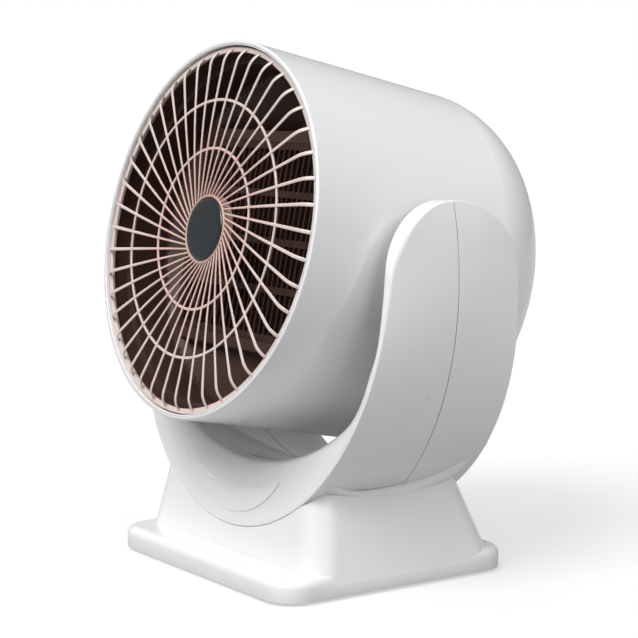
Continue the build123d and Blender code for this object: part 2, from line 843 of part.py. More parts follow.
def pedestal_outline(height, inset):
    """The pedestal's rounded outline at a height: it narrows towards the top."""
    above = height - plate_height
    half_width = pedestal_half_width - pedestal_side_slope * above - inset
    front = front_y(height) + inset
    back = pedestal_back - pedestal_back_slope * above - inset
    with BuildSketch(Plane.XY.offset(height)) as outline:
        with Locations((0, (front + back) / 2)):
            RectangleRounded(2 * half_width, back - front, pedestal_corner - inset)
    return outline.sketch


def yoke_place(grow, gap):
    """The block that the yoke's foot fills in the base, cut off behind the yoke."""
    behind = arm_top_radius + gap
    with BuildPart() as block:
        add(yoke_bulk(grow))
        with Locations((0, behind - far / 2, far / 2)):
            Box(far, far, far, mode=Mode.INTERSECT)
    return block.part


def back_plane(x):
    """Plane on the pedestal's sloping back at one place along X, looking outwards."""
    above = inlet_height - plate_height
    origin = (x, pedestal_back - pedestal_back_slope * above, inlet_height)
    angle = atan(pedestal_back_slope)
    return Plane(origin=origin, x_dir=(-1, 0, 0), z_dir=(0, cos(angle), sin(angle)))


def corners(spacing_x, spacing_y, middle_y):
    """Four places at the corners of a rectangle that is centred in X."""
    return [(x * spacing_x / 2, middle_y + y * spacing_y / 2) for x in sides for y in sides]


tangent_low = plate_height - plate_round
cover_inset = wall + seat_gap
post_places = corners(base_screw_spacing_x, base_screw_spacing_y, plate_centre)
foot_places = corners(plate_width - 2 * foot_inset, plate_depth - 2 * foot_inset, plate_centre)
board_low = cover_top + board_gap
board_top = board_low + board_thickness
board_places = corners(
    power_board_width - 2 * board_pad_radius, power_board_depth - 2 * board_pad_radius, power_board_back
)
tip_place = (tip_x, tip_back)
yoke_boss_low = board_top + screw_head_height + yoke_boss_clear
rocker_plane = back_plane(rocker_x)
gland_plane = back_plane(gland_x)

# Rim of the saddle, seen from the side: level along the pedestal, rising along the yoke's rear edge
with BuildPart() as saddle_rim:
    with BuildSketch(Plane.YZ):
        with BuildLine():
            Polyline(
                (saddle_front, saddle_low),
                (arm_top_radius, saddle_low),
                (arm_top_radius, saddle_rear_height),
                (saddle_knee, saddle_knee_height),
                (saddle_front, saddle_front_height),
                close=True,
            )
        make_face()
    extrude(amount=far, both=True)
    add(yoke_bulk(seat_gap + saddle_thickness), mode=Mode.INTERSECT)

with BuildPart() as base_room:
    extrude(plate_outline(0, wall), amount=plate_height - wall, dir=(0, 0, 1))
    loft([pedestal_outline(tangent_low, wall), pedestal_outline(pedestal_top, wall)], ruled=True)
    add(yoke_place(seat_gap + wall, seat_gap + wall), mode=Mode.SUBTRACT)
    # posts for the bottom cover's screws and bosses for the yoke's
    with BuildSketch(Plane.XY.offset(cover_top)):
        with Locations(*post_places):
            Circle(post_radius)
    extrude(amount=pedestal_top, mode=Mode.SUBTRACT)
    with BuildSketch(Plane.XY.offset(yoke_boss_low)):
        with Locations(*screw_places):
            Circle(post_radius)
    extrude(amount=pedestal_top, mode=Mode.SUBTRACT)

with BuildPart() as base_housing:
    extrude(plate_outline(foot_gap, 0), amount=plate_height - foot_gap, dir=(0, 0, 1))
    fillet(base_housing.faces().sort_by(Axis.Z)[-1].edges(), radius=plate_round)
    loft([pedestal_outline(tangent_low, 0), pedestal_outline(pedestal_top, 0)], ruled=True)
    add(saddle_rim.part)
    add(yoke_place(seat_gap, seat_gap), mode=Mode.SUBTRACT)
    add(base_room.part, mode=Mode.SUBTRACT)
    with BuildSketch(Plane.XY.offset(cover_top)):
        with Locations(*post_places):
            Circle(screw_radius + shaft_gap)
    screw_in_post = base_screw_length + screw_head_height - cover_thickness
    extrude(amount=screw_in_post + base_screw_spare, mode=Mode.SUBTRACT)
    with BuildSketch(Plane.XY):
        with Locations(*screw_places):
            Circle(screw_radius + seat_gap)
    extrude(amount=pedestal_top, mode=Mode.SUBTRACT)
    with BuildSketch(rocker_plane):
        Rectangle(rocker_width + 2 * seat_gap, rocker_height + 2 * seat_gap)
    extrude(amount=2 * rocker_depth, both=True, mode=Mode.SUBTRACT)
    with BuildSketch(gland_plane):
        Circle(gland_radius + shaft_gap)
    extrude(amount=gland_length, both=True, mode=Mode.SUBTRACT)
save(base_housing.part, "base_housing")

with BuildPart() as bottom_cover:
    extrude(plate_outline(foot_gap, cover_inset), amount=cover_thickness, dir=(0, 0, 1))
    with BuildSketch(Plane.XY):
        with Locations(*foot_places):
            Circle(pad_foot_radius + shaft_gap)
    extrude(amount=pad_foot_height, mode=Mode.SUBTRACT)
    with BuildSketch(Plane.XY):
        with Locations(*post_places):
            Circle(screw_head_radius + seat_gap)
    extrude(amount=foot_gap + screw_head_height, mode=Mode.SUBTRACT)
    with BuildSketch(Plane.XY):
        with Locations(*post_places):
            Circle(screw_radius + seat_gap)
    extrude(amount=cover_top + cut_past, mode=Mode.SUBTRACT)
    with BuildSketch(Plane.XY.offset(cover_top)):
        with Locations(*board_places):
            Circle(board_pad_radius)
    extrude(amount=board_gap)
    with BuildSketch(Plane.XY):
        with Locations(tip_place):
            Circle(plunger_radius + 2 * seat_gap)
    extrude(amount=cover_top + cut_past, mode=Mode.SUBTRACT)
save(bottom_cover.part, "bottom_cover")

with BuildPart() as rubber_feet:
    with BuildSketch(Plane.XY):
        with Locations(*foot_places):
            Circle(pad_foot_radius)
    extrude(amount=pad_foot_height)
save(rubber_feet.part, "rubber_feet")

with BuildPart() as base_screws:
    head_low = foot_gap
    with BuildSketch(Plane.XY.offset(head_low)):
        with Locations(*post_places):
            Circle(screw_head_radius)
    extrude(amount=screw_head_height)
    with BuildSketch(Plane.XY.offset(head_low)):
        with Locations(*post_places):
            Circle(screw_radius)
    extrude(amount=screw_head_height + base_screw_length)
save(base_screws.part, "base_screws")

with BuildPart() as yoke_screws:
    with BuildSketch(Plane.XY.offset(yoke_boss_low)):
        with Locations(*screw_places):
            Circle(screw_head_radius)
    extrude(amount=-screw_head_height)
    with BuildSketch(Plane.XY.offset(yoke_boss_low)):
        with Locations(*screw_places):
            Circle(screw_radius)
    extrude(amount=yoke_screw_length)
save(yoke_screws.part, "yoke_screws")

with BuildPart() as ballast_weight:
    with BuildSketch(Plane.XY.offset(cover_top)):
        with Locations((0, ballast_back)):
            RectangleRounded(ballast_width, ballast_depth, ballast_corner)
    extrude(amount=ballast_height)
save(ballast_weight.part, "ballast_weight")

with BuildPart() as power_board:
    with BuildSketch(Plane.XY.offset(board_low)):
        with Locations((0, power_board_back)):
            Rectangle(power_board_width, power_board_depth)
    extrude(amount=board_thickness)
save(power_board.part, "power_board")

with BuildPart() as relays:
    with BuildSketch(Plane.XY.offset(board_top)):
        with Locations((0, power_board_back)):
            with GridLocations(relay_spacing, 1, 2, 1):
                Rectangle(relay_width, relay_depth)
    extrude(amount=relay_height)
save(relays.part, "relays")

# Tip-over switch: a plunger that the floor holds pressed in
plunger_top = cover_top + plunger_travel + plunger_collar_height + 2 * seat_gap
with BuildPart() as tip_switch_body:
    with BuildSketch(Plane.XY.offset(cover_top)):
        with Locations(tip_place):
            Rectangle(tip_width, tip_depth)
            Circle(plunger_collar + 2 * seat_gap, mode=Mode.SUBTRACT)
    extrude(amount=tip_height)
    with BuildSketch(Plane.XY.offset(cover_top + tip_height)):
        with Locations(tip_place):
            Rectangle(tip_width, tip_depth)
    extrude(amount=-board_thickness)
save(tip_switch_body.part, "tip_switch_body")

with BuildPart() as tip_plunger:
    with BuildSketch(Plane.XY):
        with Locations(tip_place):
            Circle(plunger_radius)
    extrude(amount=plunger_top)
    with BuildSketch(Plane.XY.offset(plunger_top)):
        with Locations(tip_place):
            Circle(plunger_collar)
    extrude(amount=-plunger_collar_height)
save(tip_plunger.part, "tip_plunger")

# Mains switch on the pedestal's back: a frame and the key that rocks in it on two round pins
pivot_plane = rocker_plane.offset(-rocker_pivot_depth)
pin_plane = Plane(origin=pivot_plane.origin, x_dir=pivot_plane.z_dir, z_dir=pivot_plane.x_dir)
pin_reach = rocker_width / 2 - rocker_rim + rocker_pin_depth
with BuildPart() as rocker_frame:
    with BuildSketch(rocker_plane):
        Rectangle(rocker_width + 2 * rocker_rim, rocker_height + 2 * rocker_rim)
    extrude(amount=rocker_rim_proud)
    with BuildSketch(rocker_plane):
        Rectangle(rocker_width, rocker_height)
    extrude(amount=-rocker_depth)
    with BuildSketch(rocker_plane.offset(rocker_rim_proud)):
        Rectangle(rocker_width - 2 * rocker_rim, rocker_height - 2 * rocker_rim)
    extrude(amount=-rocker_depth + 2 * rocker_rim, mode=Mode.SUBTRACT)
    with BuildSketch(pin_plane):
        Circle(rocker_pin_radius + shaft_gap)
    extrude(amount=pin_reach + shaft_gap, both=True, mode=Mode.SUBTRACT)
save(rocker_frame.part, "rocker_frame")

# The key's section is a shallow V. Its end stays clear of the frame over the whole swing.
swing = radians(rocker_swing)
key_gap = 2 * seat_gap
key_front = rocker_pivot_depth + rocker_rim_proud
key_sweep = key_front + rocker_rock_room
key_half = (rocker_height / 2 - rocker_rim - key_gap - key_sweep * sin(swing)) / cos(swing)
key_width = rocker_width - 2 * rocker_rim - 2 * key_gap
key_section = Plane(
    origin=pivot_plane.origin,
    x_dir=pivot_plane.z_dir * cos(swing) - pivot_plane.y_dir * sin(swing),
    z_dir=pivot_plane.x_dir,
)
with BuildPart() as rocker_key:
    with BuildSketch(key_section):
        with BuildLine():
            end_front = key_front + key_half * tan(swing)
            Polyline(
                (key_front, 0),
                (end_front, key_half),
                (-rocker_tail, key_half),
                (-rocker_tail, -key_half),
                (end_front, -key_half),
                close=True,
            )
        make_face()
    extrude(amount=key_width / 2, both=True)
    with BuildSketch(pin_plane):
        Circle(rocker_pin_radius)
    extrude(amount=pin_reach, both=True)
save(rocker_key.part, "rocker_key")

# Cord inlet
with BuildPart() as cord_gland:
    with BuildSketch(gland_plane):
        Circle(gland_flange_radius)
    extrude(amount=gland_flange, taper=gland_taper)
    with BuildSketch(gland_plane):
        Circle(gland_radius)
    extrude(amount=gland_flange - gland_length)
    with BuildSketch(gland_plane.offset(gland_flange)):
        Circle(gland_bore)
    extrude(amount=-gland_length - cut_past, mode=Mode.SUBTRACT)
save(cord_gland.part, "cord_gland")
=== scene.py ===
import json
import logging
from dataclasses import dataclass, field
from enum import Enum
from math import cos, pi, radians, sin, tan
from typing import Callable, Union

import bmesh
import bpy
import numpy as np
from mathutils import Matrix, Vector


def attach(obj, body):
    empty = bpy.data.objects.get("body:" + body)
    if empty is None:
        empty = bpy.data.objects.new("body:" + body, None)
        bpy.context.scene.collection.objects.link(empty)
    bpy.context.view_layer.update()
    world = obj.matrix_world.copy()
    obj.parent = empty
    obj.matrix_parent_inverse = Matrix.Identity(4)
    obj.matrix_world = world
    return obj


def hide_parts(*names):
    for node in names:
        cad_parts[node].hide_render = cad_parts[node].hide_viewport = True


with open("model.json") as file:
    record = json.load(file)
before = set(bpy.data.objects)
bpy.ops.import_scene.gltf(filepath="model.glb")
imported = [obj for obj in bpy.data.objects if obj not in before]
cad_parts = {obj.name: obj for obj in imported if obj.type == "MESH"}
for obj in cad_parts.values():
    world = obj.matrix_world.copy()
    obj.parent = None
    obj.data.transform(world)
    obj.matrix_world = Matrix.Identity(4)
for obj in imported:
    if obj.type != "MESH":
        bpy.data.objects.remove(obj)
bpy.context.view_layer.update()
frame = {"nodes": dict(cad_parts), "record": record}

# Desktop fan heater: a round head behind a rose grille, tilting in a white yoke on a tapered base.
# Sizes are millimetres in the classes below and metres in the meshes. +Z is up, the head faces -Y.
log = logging.getLogger("fan_heater")
MM = 0.001
PHOTO_SIDE = 638.0  # pixels, the photograph is square
PIVOT_HEIGHT = 140.4  # of the tilt axis above the floor
HEAD_TILT = 12.0  # degrees up from level at rest

Array = np.ndarray
Placer = Callable[[Array, Array, Array], Array]
Pair = tuple[float, float]
Triple = tuple[float, float, float]
Colour = Triple
Number = Union[float, "Value"]


class Body(Enum):
    """The moving groups of the heater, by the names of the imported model."""

    STAND = "stand"
    HEAD = "head"
    FAN = "fan"
    KEY = "mains_key"
    PLUNGER = "plunger"


# Shader maths


class Value:
    """A number that changes over a surface: arithmetic on it adds Math nodes to its tree."""

    def __init__(self, graph: "Graph", socket: bpy.types.NodeSocket) -> None:
        """Wraps one output socket of a tree."""
        self.graph = graph
        self.socket = socket

    def _math(self, operation: str, *others: Number) -> "Value":
        """Output of a new Math node on this value and the others."""
        return self.graph.node("ShaderNodeMath", {"operation": operation}, self, *others)

    def __add__(self, other: Number) -> "Value":
        """Sum."""
        return self._math("ADD", other)

    def __sub__(self, other: Number) -> "Value":
        """This value less the other."""
        return self._math("SUBTRACT", other)

    def __mul__(self, other: Number) -> "Value":
        """Product."""
        return self._math("MULTIPLY", other)

    def root(self) -> "Value":
        """Square root."""
        return self._math("SQRT")

    def ramp(self, low: float, high: float) -> "Value":
        """Rises smoothly from 0 at low to 1 at high."""
        settings = {"interpolation_type": "SMOOTHSTEP"}
        return self.graph.node("ShaderNodeMapRange", settings, self, low, high, 0.0, 1.0)


class Graph:
    """A node tree, of a material or of the world."""

    def __init__(self, tree: bpy.types.NodeTree) -> None:
        """Wraps the tree."""
        self.tree = tree

    def node(self, kind: str, settings: dict, *inputs: object, output: str | int = 0) -> Value:
        """Adds a node of any kind.

        Args:
            kind: the node's type.
            settings: its properties, set before its sockets.
            inputs: values or links for its sockets in order, None to leave one alone, or one dict by name.
            output: the name or index of the output to give back.

        Returns:
            The chosen output, ready for arithmetic.
        """
        made = self.tree.nodes.new(kind)
        for key, value in settings.items():
            setattr(made, key, value)
        named = inputs[0] if inputs and isinstance(inputs[0], dict) else dict(enumerate(inputs))
        for key, value in named.items():
            if value is not None:
                self.feed(made.inputs[key], value)
        return Value(self, made.outputs[output])

    def feed(self, socket: bpy.types.NodeSocket, value: object) -> None:
        """Links a Value to a socket, or sets a plain value on it.

        Args:
            socket: an input of the tree.
            value: a Value, a number or a colour.
        """
        if isinstance(value, Value):
            self.tree.links.new(value.socket, socket)
        else:
            socket.default_value = value

    def seen_straight(self, gloss: float) -> Value:
        """1 for rays from the camera and through glass, 0 for the light that surfaces gather.

        Args:
            gloss: what it is for rays that a glossy surface throws.

        Returns:
            The sum of the three kinds of ray, each times its share.
        """
        camera, glossy, through = [
            self.node("ShaderNodeLightPath", {}, output=f"Is {kind} Ray")
            for kind in ("Camera", "Glossy", "Transmission")
        ]
        return camera + glossy * gloss + through


class Dress(Graph):
    """The node tree of one material, with a Principled shader at its end."""

    def __init__(self, name: str) -> None:
        """Makes an empty material with its shader and output.

        Args:
            name: the material's name.
        """
        self.material = bpy.data.materials.new(name)
        self.material.use_nodes = True
        super().__init__(self.material.node_tree)
        self.tree.nodes.clear()
        self.shader = self.tree.nodes.new("ShaderNodeBsdfPrincipled")
        output = self.tree.nodes.new("ShaderNodeOutputMaterial")
        self.tree.links.new(self.shader.outputs["BSDF"], output.inputs["Surface"])

    def set(self, **sockets: object) -> None:
        """Feeds the shader's sockets, named with underscores for spaces."""
        for key, value in sockets.items():
            self.feed(self.shader.inputs[key.replace("_", " ")], value)

    def place(self) -> Value:
        """The point on the surface, in metres from the heater's origin."""
        return self.node("ShaderNodeTexCoord", {}, output="Object")

    def parts(self, vector: Value) -> tuple[Value, Value, Value]:
        """Splits a vector into x, y and z."""
        split = self.node("ShaderNodeSeparateXYZ", {}, vector).socket.node
        return tuple(Value(self, split.outputs[i]) for i in range(3))

    def noise(self, scale: float, detail: float = 2.0) -> Value:
        """Soft noise from 0 to 1 with that many cells to the metre."""
        sockets = {"Vector": self.place(), "Scale": scale, "Detail": detail}
        return self.node("ShaderNodeTexNoise", {}, sockets)

    def mix(self, share: Value, first: Colour, second: Colour) -> Value:
        """Colour between two colours, by the share of the second."""
        sockets = {0: share, 6: (*first, 1.0), 7: (*second, 1.0)}
        return self.node("ShaderNodeMix", {"data_type": "RGBA"}, sockets, output=2)

    def bump(self, height: Value, strength: float, depth: float) -> None:
        """Feeds the shader's Normal from a height, with depth in metres."""
        normal = self.node("ShaderNodeBump", {}, {"Strength": strength, "Distance": depth, "Height": height})
        self.set(Normal=normal)


def head_axis_distance(dress: Dress, tilt: float, height: float) -> Value:
    """Distance of a surface point from the head's axis.

    The axis passes through (0, 0, height) and rises forward by the tilt. Across it lie x and the
    upward direction (0, sin tilt, cos tilt), so the distance is the root of their squares' sum.

    Args:
        dress: the material's tree.
        tilt: the axis's rise, radians.
        height: the pivot's height, metres.

    Returns:
        The distance in metres.
    """
    x, y, z = dress.parts(dress.place())
    up = y * sin(tilt) + (z - height) * cos(tilt)
    return (x * x + up * up).root()


# Finishes


# Each noise is a pair: its cells to the metre and its detail. Each bump is a pair: its strength and
# its depth in metres.


@dataclass(frozen=True)
class MouldedPlastic:
    """Moulded plastic with a faint uneven gloss and a fine skin."""

    name: str
    colour: Colour
    shade: Colour
    roughness: float
    coat: float = 0.0
    coat_ior: float = 1.5
    coat_roughness: float = 0.04
    drift: Pair = (22.0, 3.0)
    drift_range: Pair = (0.35, 0.65)
    gloss: Pair = (140.0, 4.0)
    gloss_least: float = 0.82
    gloss_swing: float = 0.35
    skin: Pair = (900.0, 2.0)
    skin_bump: Pair = (0.12, 0.00002)

    def material(self) -> bpy.types.Material:
        """Makes the material.

        Returns:
            Colour drifts between colour and shade over a few centimetres, roughness drifts with a
            finer noise, and a fine bump gives the skin of the mould.
        """
        dress = Dress(self.name)
        share = dress.noise(*self.drift).ramp(*self.drift_range)
        swing = dress.noise(*self.gloss) * (self.gloss_swing * self.roughness)
        dress.set(
            Base_Color=dress.mix(share, self.colour, self.shade),
            Roughness=swing + self.gloss_least * self.roughness,
            Coat_Weight=self.coat,
            Coat_Roughness=self.coat_roughness,
            Coat_IOR=self.coat_ior,
        )
        dress.bump(dress.noise(*self.skin), *self.skin_bump)
        return dress.material


@dataclass(frozen=True)
class Metal:
    """Bare or plated metal with a fine grain."""

    name: str
    colour: Colour
    shade: Colour
    roughness: float
    metallic: float = 1.0
    stain: Pair = (120.0, 3.0)
    stain_range: Pair = (0.4, 0.7)
    grain: Pair = (1500.0, 6.0)
    grain_swing: float = 0.2
    grain_bump: Pair = (0.15, 0.00003)

    def material(self) -> bpy.types.Material:
        """Makes the material.

        Returns:
            Colour is stained by a noise, and a finer grain drives both roughness and bump.
        """
        dress = Dress(self.name)
        grain = dress.noise(*self.grain)
        share = dress.noise(*self.stain).ramp(*self.stain_range)
        dress.set(
            Base_Color=dress.mix(share, self.colour, self.shade),
            Roughness=grain * self.grain_swing + self.roughness,
            Metallic=self.metallic,
        )
        dress.bump(grain, *self.grain_bump)
        return dress.material


@dataclass(frozen=True)
class RoseGrille:
    """Rose plastic, pale cream rose at the rim, with a painted warm glow that turns it salmon round the hub.
    """

    name: str
    # The first colour is a painted warm glow round the hub, the second the grille's own pale rose at the
    # rim.
    hub_glow: Colour
    far: Colour
    roughness: float
    # The painted glow fades out over this span of distance from the head's axis, in metres.
    reach: Pair = (0.018, 0.062)
    drift: Pair = (60.0, 3.0)
    drift_share: float = 0.1
    coat: float = 0.4
    coat_roughness: float = 0.12
    skin: Pair = (900.0, 2.0)
    skin_bump: Pair = (0.1, 0.00002)

    def material(self) -> bpy.types.Material:
        """Makes the material.

        Returns:
            Colour follows the distance from the head's axis over the reach, from the painted warm glow round
            the hub to the rim's own rose, with a faint drift that roughness shares.
        """
        dress = Dress(self.name)
        from_axis = head_axis_distance(dress, radians(HEAD_TILT), PIVOT_HEIGHT * MM)
        drift = dress.noise(*self.drift) * self.drift_share
        # The share runs from the painted warm glow near the axis to the plastic's own rose at the rim.
        share = from_axis.ramp(*self.reach) * (1.0 - self.drift_share) + drift
        dress.set(
            Base_Color=dress.mix(share, self.hub_glow, self.far),
            Roughness=drift + self.roughness,
            Coat_Weight=self.coat,
            Coat_Roughness=self.coat_roughness,
        )
        dress.bump(dress.noise(*self.skin), *self.skin_bump)
        return dress.material


class Finish(Enum):
    """Every finish of the heater, named as the record's material slots."""

    SHELL = MouldedPlastic("shell_white", (0.80, 0.80, 0.805), (0.79, 0.79, 0.797), 0.30, 1.0, 1.8)
    # The grille's first colour is a painted warm glow round the hub, the second its own pale rose.
    ROSE = RoseGrille("grille_rose", (0.66, 0.43, 0.37), (0.68, 0.56, 0.52), 0.3)
    HUB = MouldedPlastic("hub_dark", (0.010, 0.016, 0.018), (0.008, 0.012, 0.014), 0.18)
    # The duct's dark brown is its own colour; its red tint is a painted warm glow of the element.
    DUCT = MouldedPlastic("duct_dark", (0.056, 0.024, 0.018), (0.042, 0.018, 0.013), 0.5)
    # The core's red-brown tint is a painted warm glow of the element.
    CORE = Metal("heating_core", (0.050, 0.018, 0.012), (0.030, 0.012, 0.009), 0.55, 0.3)
    STEEL = Metal("steel", (0.55, 0.55, 0.57), (0.45, 0.45, 0.46), 0.3)
    BRASS = Metal("terminal_metal", (0.72, 0.60, 0.36), (0.62, 0.52, 0.34), 0.3)
    FAN = MouldedPlastic("fan_dark", (0.03, 0.03, 0.032), (0.024, 0.024, 0.026), 0.45)
    BOARD = MouldedPlastic("board_green", (0.03, 0.15, 0.06), (0.025, 0.11, 0.05), 0.4)
    BLACK = MouldedPlastic("black_plastic", (0.02, 0.02, 0.021), (0.016, 0.016, 0.017), 0.4)
    WASHER = MouldedPlastic("washer_plastic", (0.70, 0.69, 0.65), (0.66, 0.65, 0.6), 0.4)
    RUBBER = MouldedPlastic("rubber_grey", (0.06, 0.06, 0.062), (0.05, 0.05, 0.052), 0.75)


@dataclass
class Wardrobe:
    """Makes each finish once and hands it out."""

    made: dict = field(default_factory=dict)

    def material(self, slot: str) -> bpy.types.Material:
        """Looks a material up, and makes it on its first use.

        Args:
            slot: a material slot of the record.

        Returns:
            The slot's material.
        """
        if slot not in self.made:
            finish = next(f.value for f in Finish if f.value.name == slot)
            self.made[slot] = finish.material()
        return self.made[slot]

    def slot_of(self, node: str) -> str:
        """The slot that the record names for a node."""
        return next(row["material_slot"] for row in frame["record"]["subparts"] if row["node"] == node)

    def dress_cad_nodes(self) -> None:
        """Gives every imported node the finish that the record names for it."""
        for name, node in frame["nodes"].items():
            node.data.materials.clear()
            node.data.materials.append(self.material(self.slot_of(name)))


# Surfaces


def eased(count: int) -> Array:
    """Shares from 0 to 1, closer together at both ends: half of 1 less the cosine of an even walk to pi."""
    return 0.5 - 0.5 * np.cos(np.linspace(0.0, pi, count))


def layered(x: Array, y: Array | float, z: Array | float) -> Array:
    """Points (x, y, z) along a last axis, with the three held to one shape."""
    return np.stack(np.broadcast_arrays(x, y, z), axis=-1)


def smooth_step(share: Array) -> Array:
    """Rises from 0 to 1 over the share, level at both ends: 3 squares less 2 cubes."""
    held = np.clip(share, 0.0, 1.0)
    return held * held * (3.0 - 2.0 * held)


def softened(corners: list, setback: list | float, steps: int = 6, guard: float = 1.8) -> Array:
    """Closed outline with soft corners.

    Each corner C gives way to the curve (1-s)(1-s) A + 2s(1-s) C + s s B, where A and B lie its setback
    along its two sides. A guard point further out on each side keeps the side flat.

    Args:
        corners: the outline's corners in order, two numbers each.
        setback: one length, or one for each corner.
        steps: points on each curve.
        guard: how far out the guard points lie, in setbacks.

    Returns:
        The outline's points in order.
    """
    corners = np.asarray(corners, float)
    toward = [np.roll(corners, turn, axis=0) - corners for turn in (1, -1)]
    toward = [way / np.linalg.norm(way, axis=1, keepdims=True) for way in toward]
    reach = np.broadcast_to(np.asarray(setback, float), len(corners))[:, None, None]
    corner = corners[:, None]
    before, after = [corner + way[:, None] * reach for way in toward]
    s = np.linspace(0.0, 1.0, steps)[None, :, None]
    curve = (1 - s) ** 2 * before + 2 * s * (1 - s) * corner + s**2 * after
    guards = [corner + way[:, None] * reach * guard for way in toward]
    return np.concatenate([guards[0], curve, guards[1]], axis=1).reshape(-1, 2)


def rectangle(back: float, front: float, inner: float, outer: float) -> list:
    """Corners of a ring's section, two stations along its axis by two radii."""
    return [(back, inner), (front, inner), (front, outer), (back, outer)]


def turned(outline: Array, place: Placer, steps: int) -> Array:
    """Carries an outline round an axis.

    A point (h, r) of the outline goes to h along the axis and to r cos a and r sin a across it, for
    each angle a of an even walk all the way round.

    Args:
        outline: (along the axis, radius) points.
        place: turns the three coordinates into the heater's.
        steps: angles in the walk.

    Returns:
        Grid of angles by outline points.
    """
    a = np.linspace(0.0, 2 * pi, steps, endpoint=False)[:, None]
    along, radius = outline[None, :, 0] + 0 * a, outline[None, :, 1]
    return place(along, radius * np.cos(a), radius * np.sin(a))


class Skin:
    """Collects the closed surfaces of one piece, in millimetres, and makes its mesh."""

    def __init__(self) -> None:
        """Starts empty."""
        self.points: list[Array] = []
        self.faces: list[list[int]] = []
        self.count = 0

    def grid(
        self, points: Array, rows_close: bool = False, columns_close: bool = True, ends: bool = False
    ) -> None:
        """Adds a grid of points as four-sided faces.

        Args:
            points: rows by columns by (x, y, z).
            rows_close: the last row joins the first.
            columns_close: the last column joins the first.
            ends: the first and the last row get a flat face each.
        """
        rows, columns = points.shape[:2]
        index = np.arange(rows * columns).reshape(rows, columns) + self.count
        self.points.append(points.reshape(-1, 3))
        self.count += rows * columns
        if ends:
            self.faces += [index[0].tolist(), index[-1].tolist()]
        if rows_close:
            index = np.concatenate([index, index[:1]])
        if columns_close:
            index = np.concatenate([index, index[:, :1]], axis=1)
        quads = np.stack([index[:-1, :-1], index[1:, :-1], index[1:, 1:], index[:-1, 1:]], axis=-1)
        self.faces += quads.reshape(-1, 4).tolist()

    def ring(self, outline: Array, place: Placer, steps: int) -> None:
        """Adds a closed outline carried all the way round an axis."""
        self.grid(turned(outline, place, steps), rows_close=True)

    def mesh(self, name: str) -> bpy.types.Mesh:
        """Makes the mesh, in metres and not yet merged.

        Args:
            name: the mesh's name.

        Returns:
            The mesh of all that was added.
        """
        mesh = bpy.data.meshes.new(name)
        mesh.from_pydata((np.concatenate(self.points) * MM).tolist(), [], self.faces)
        return mesh


def placed(name: str, data: bpy.types.ID) -> bpy.types.Object:
    """Makes an object of a mesh, a camera or a lamp in the scene.

    Args:
        name: the object's name.
        data: what it shows.

    Returns:
        The object.
    """
    made = bpy.data.objects.new(name, data)
    bpy.context.scene.collection.objects.link(made)
    return made


@dataclass
class Maker:
    """Turns meshes into pieces of the heater: merged, smooth, dressed and riding on their body."""

    wardrobe: Wardrobe
    merge: float = 0.002
    crease: float = 32.0

    def piece(self, name: str, mesh: bpy.types.Mesh, body: Body, nodes: list[str], turn_out: bool) -> None:
        """Makes one piece.

        Args:
            name: the piece's name.
            mesh: its surface, in metres.
            body: what it moves with.
            nodes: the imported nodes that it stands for. It takes the first one's finish.
            turn_out: its faces are turned outwards after the merge.
        """
        tool = bmesh.new()
        tool.from_mesh(mesh)
        bmesh.ops.remove_doubles(tool, verts=tool.verts, dist=self.merge * MM)
        if turn_out:
            bmesh.ops.recalc_face_normals(tool, faces=tool.faces)
        tool.to_mesh(mesh)
        tool.free()
        mesh.shade_smooth()
        mesh.set_sharp_from_angle(angle=radians(self.crease))
        made = placed(name, mesh)
        slot = self.wardrobe.slot_of(nodes[0])
        mesh.materials.clear()
        mesh.materials.append(self.wardrobe.material(slot))
        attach(made, body.value)
        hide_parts(*nodes)
        log.info("%s: %d faces on %s", name, len(mesh.polygons), body.value)

    def surface(self, name: str, skin: Skin, body: Body, *nodes: str) -> None:
        """Makes a piece from a skin."""
        self.piece(name, skin.mesh(name), body, list(nodes), True)

    def smoothed(self, node: str, body: Body) -> None:
        """Stands a merged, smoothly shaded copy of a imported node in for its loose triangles."""
        mesh = frame["nodes"][node].data.copy()
        self.piece(f"{node}_smooth", mesh, body, [node], False)


# Head


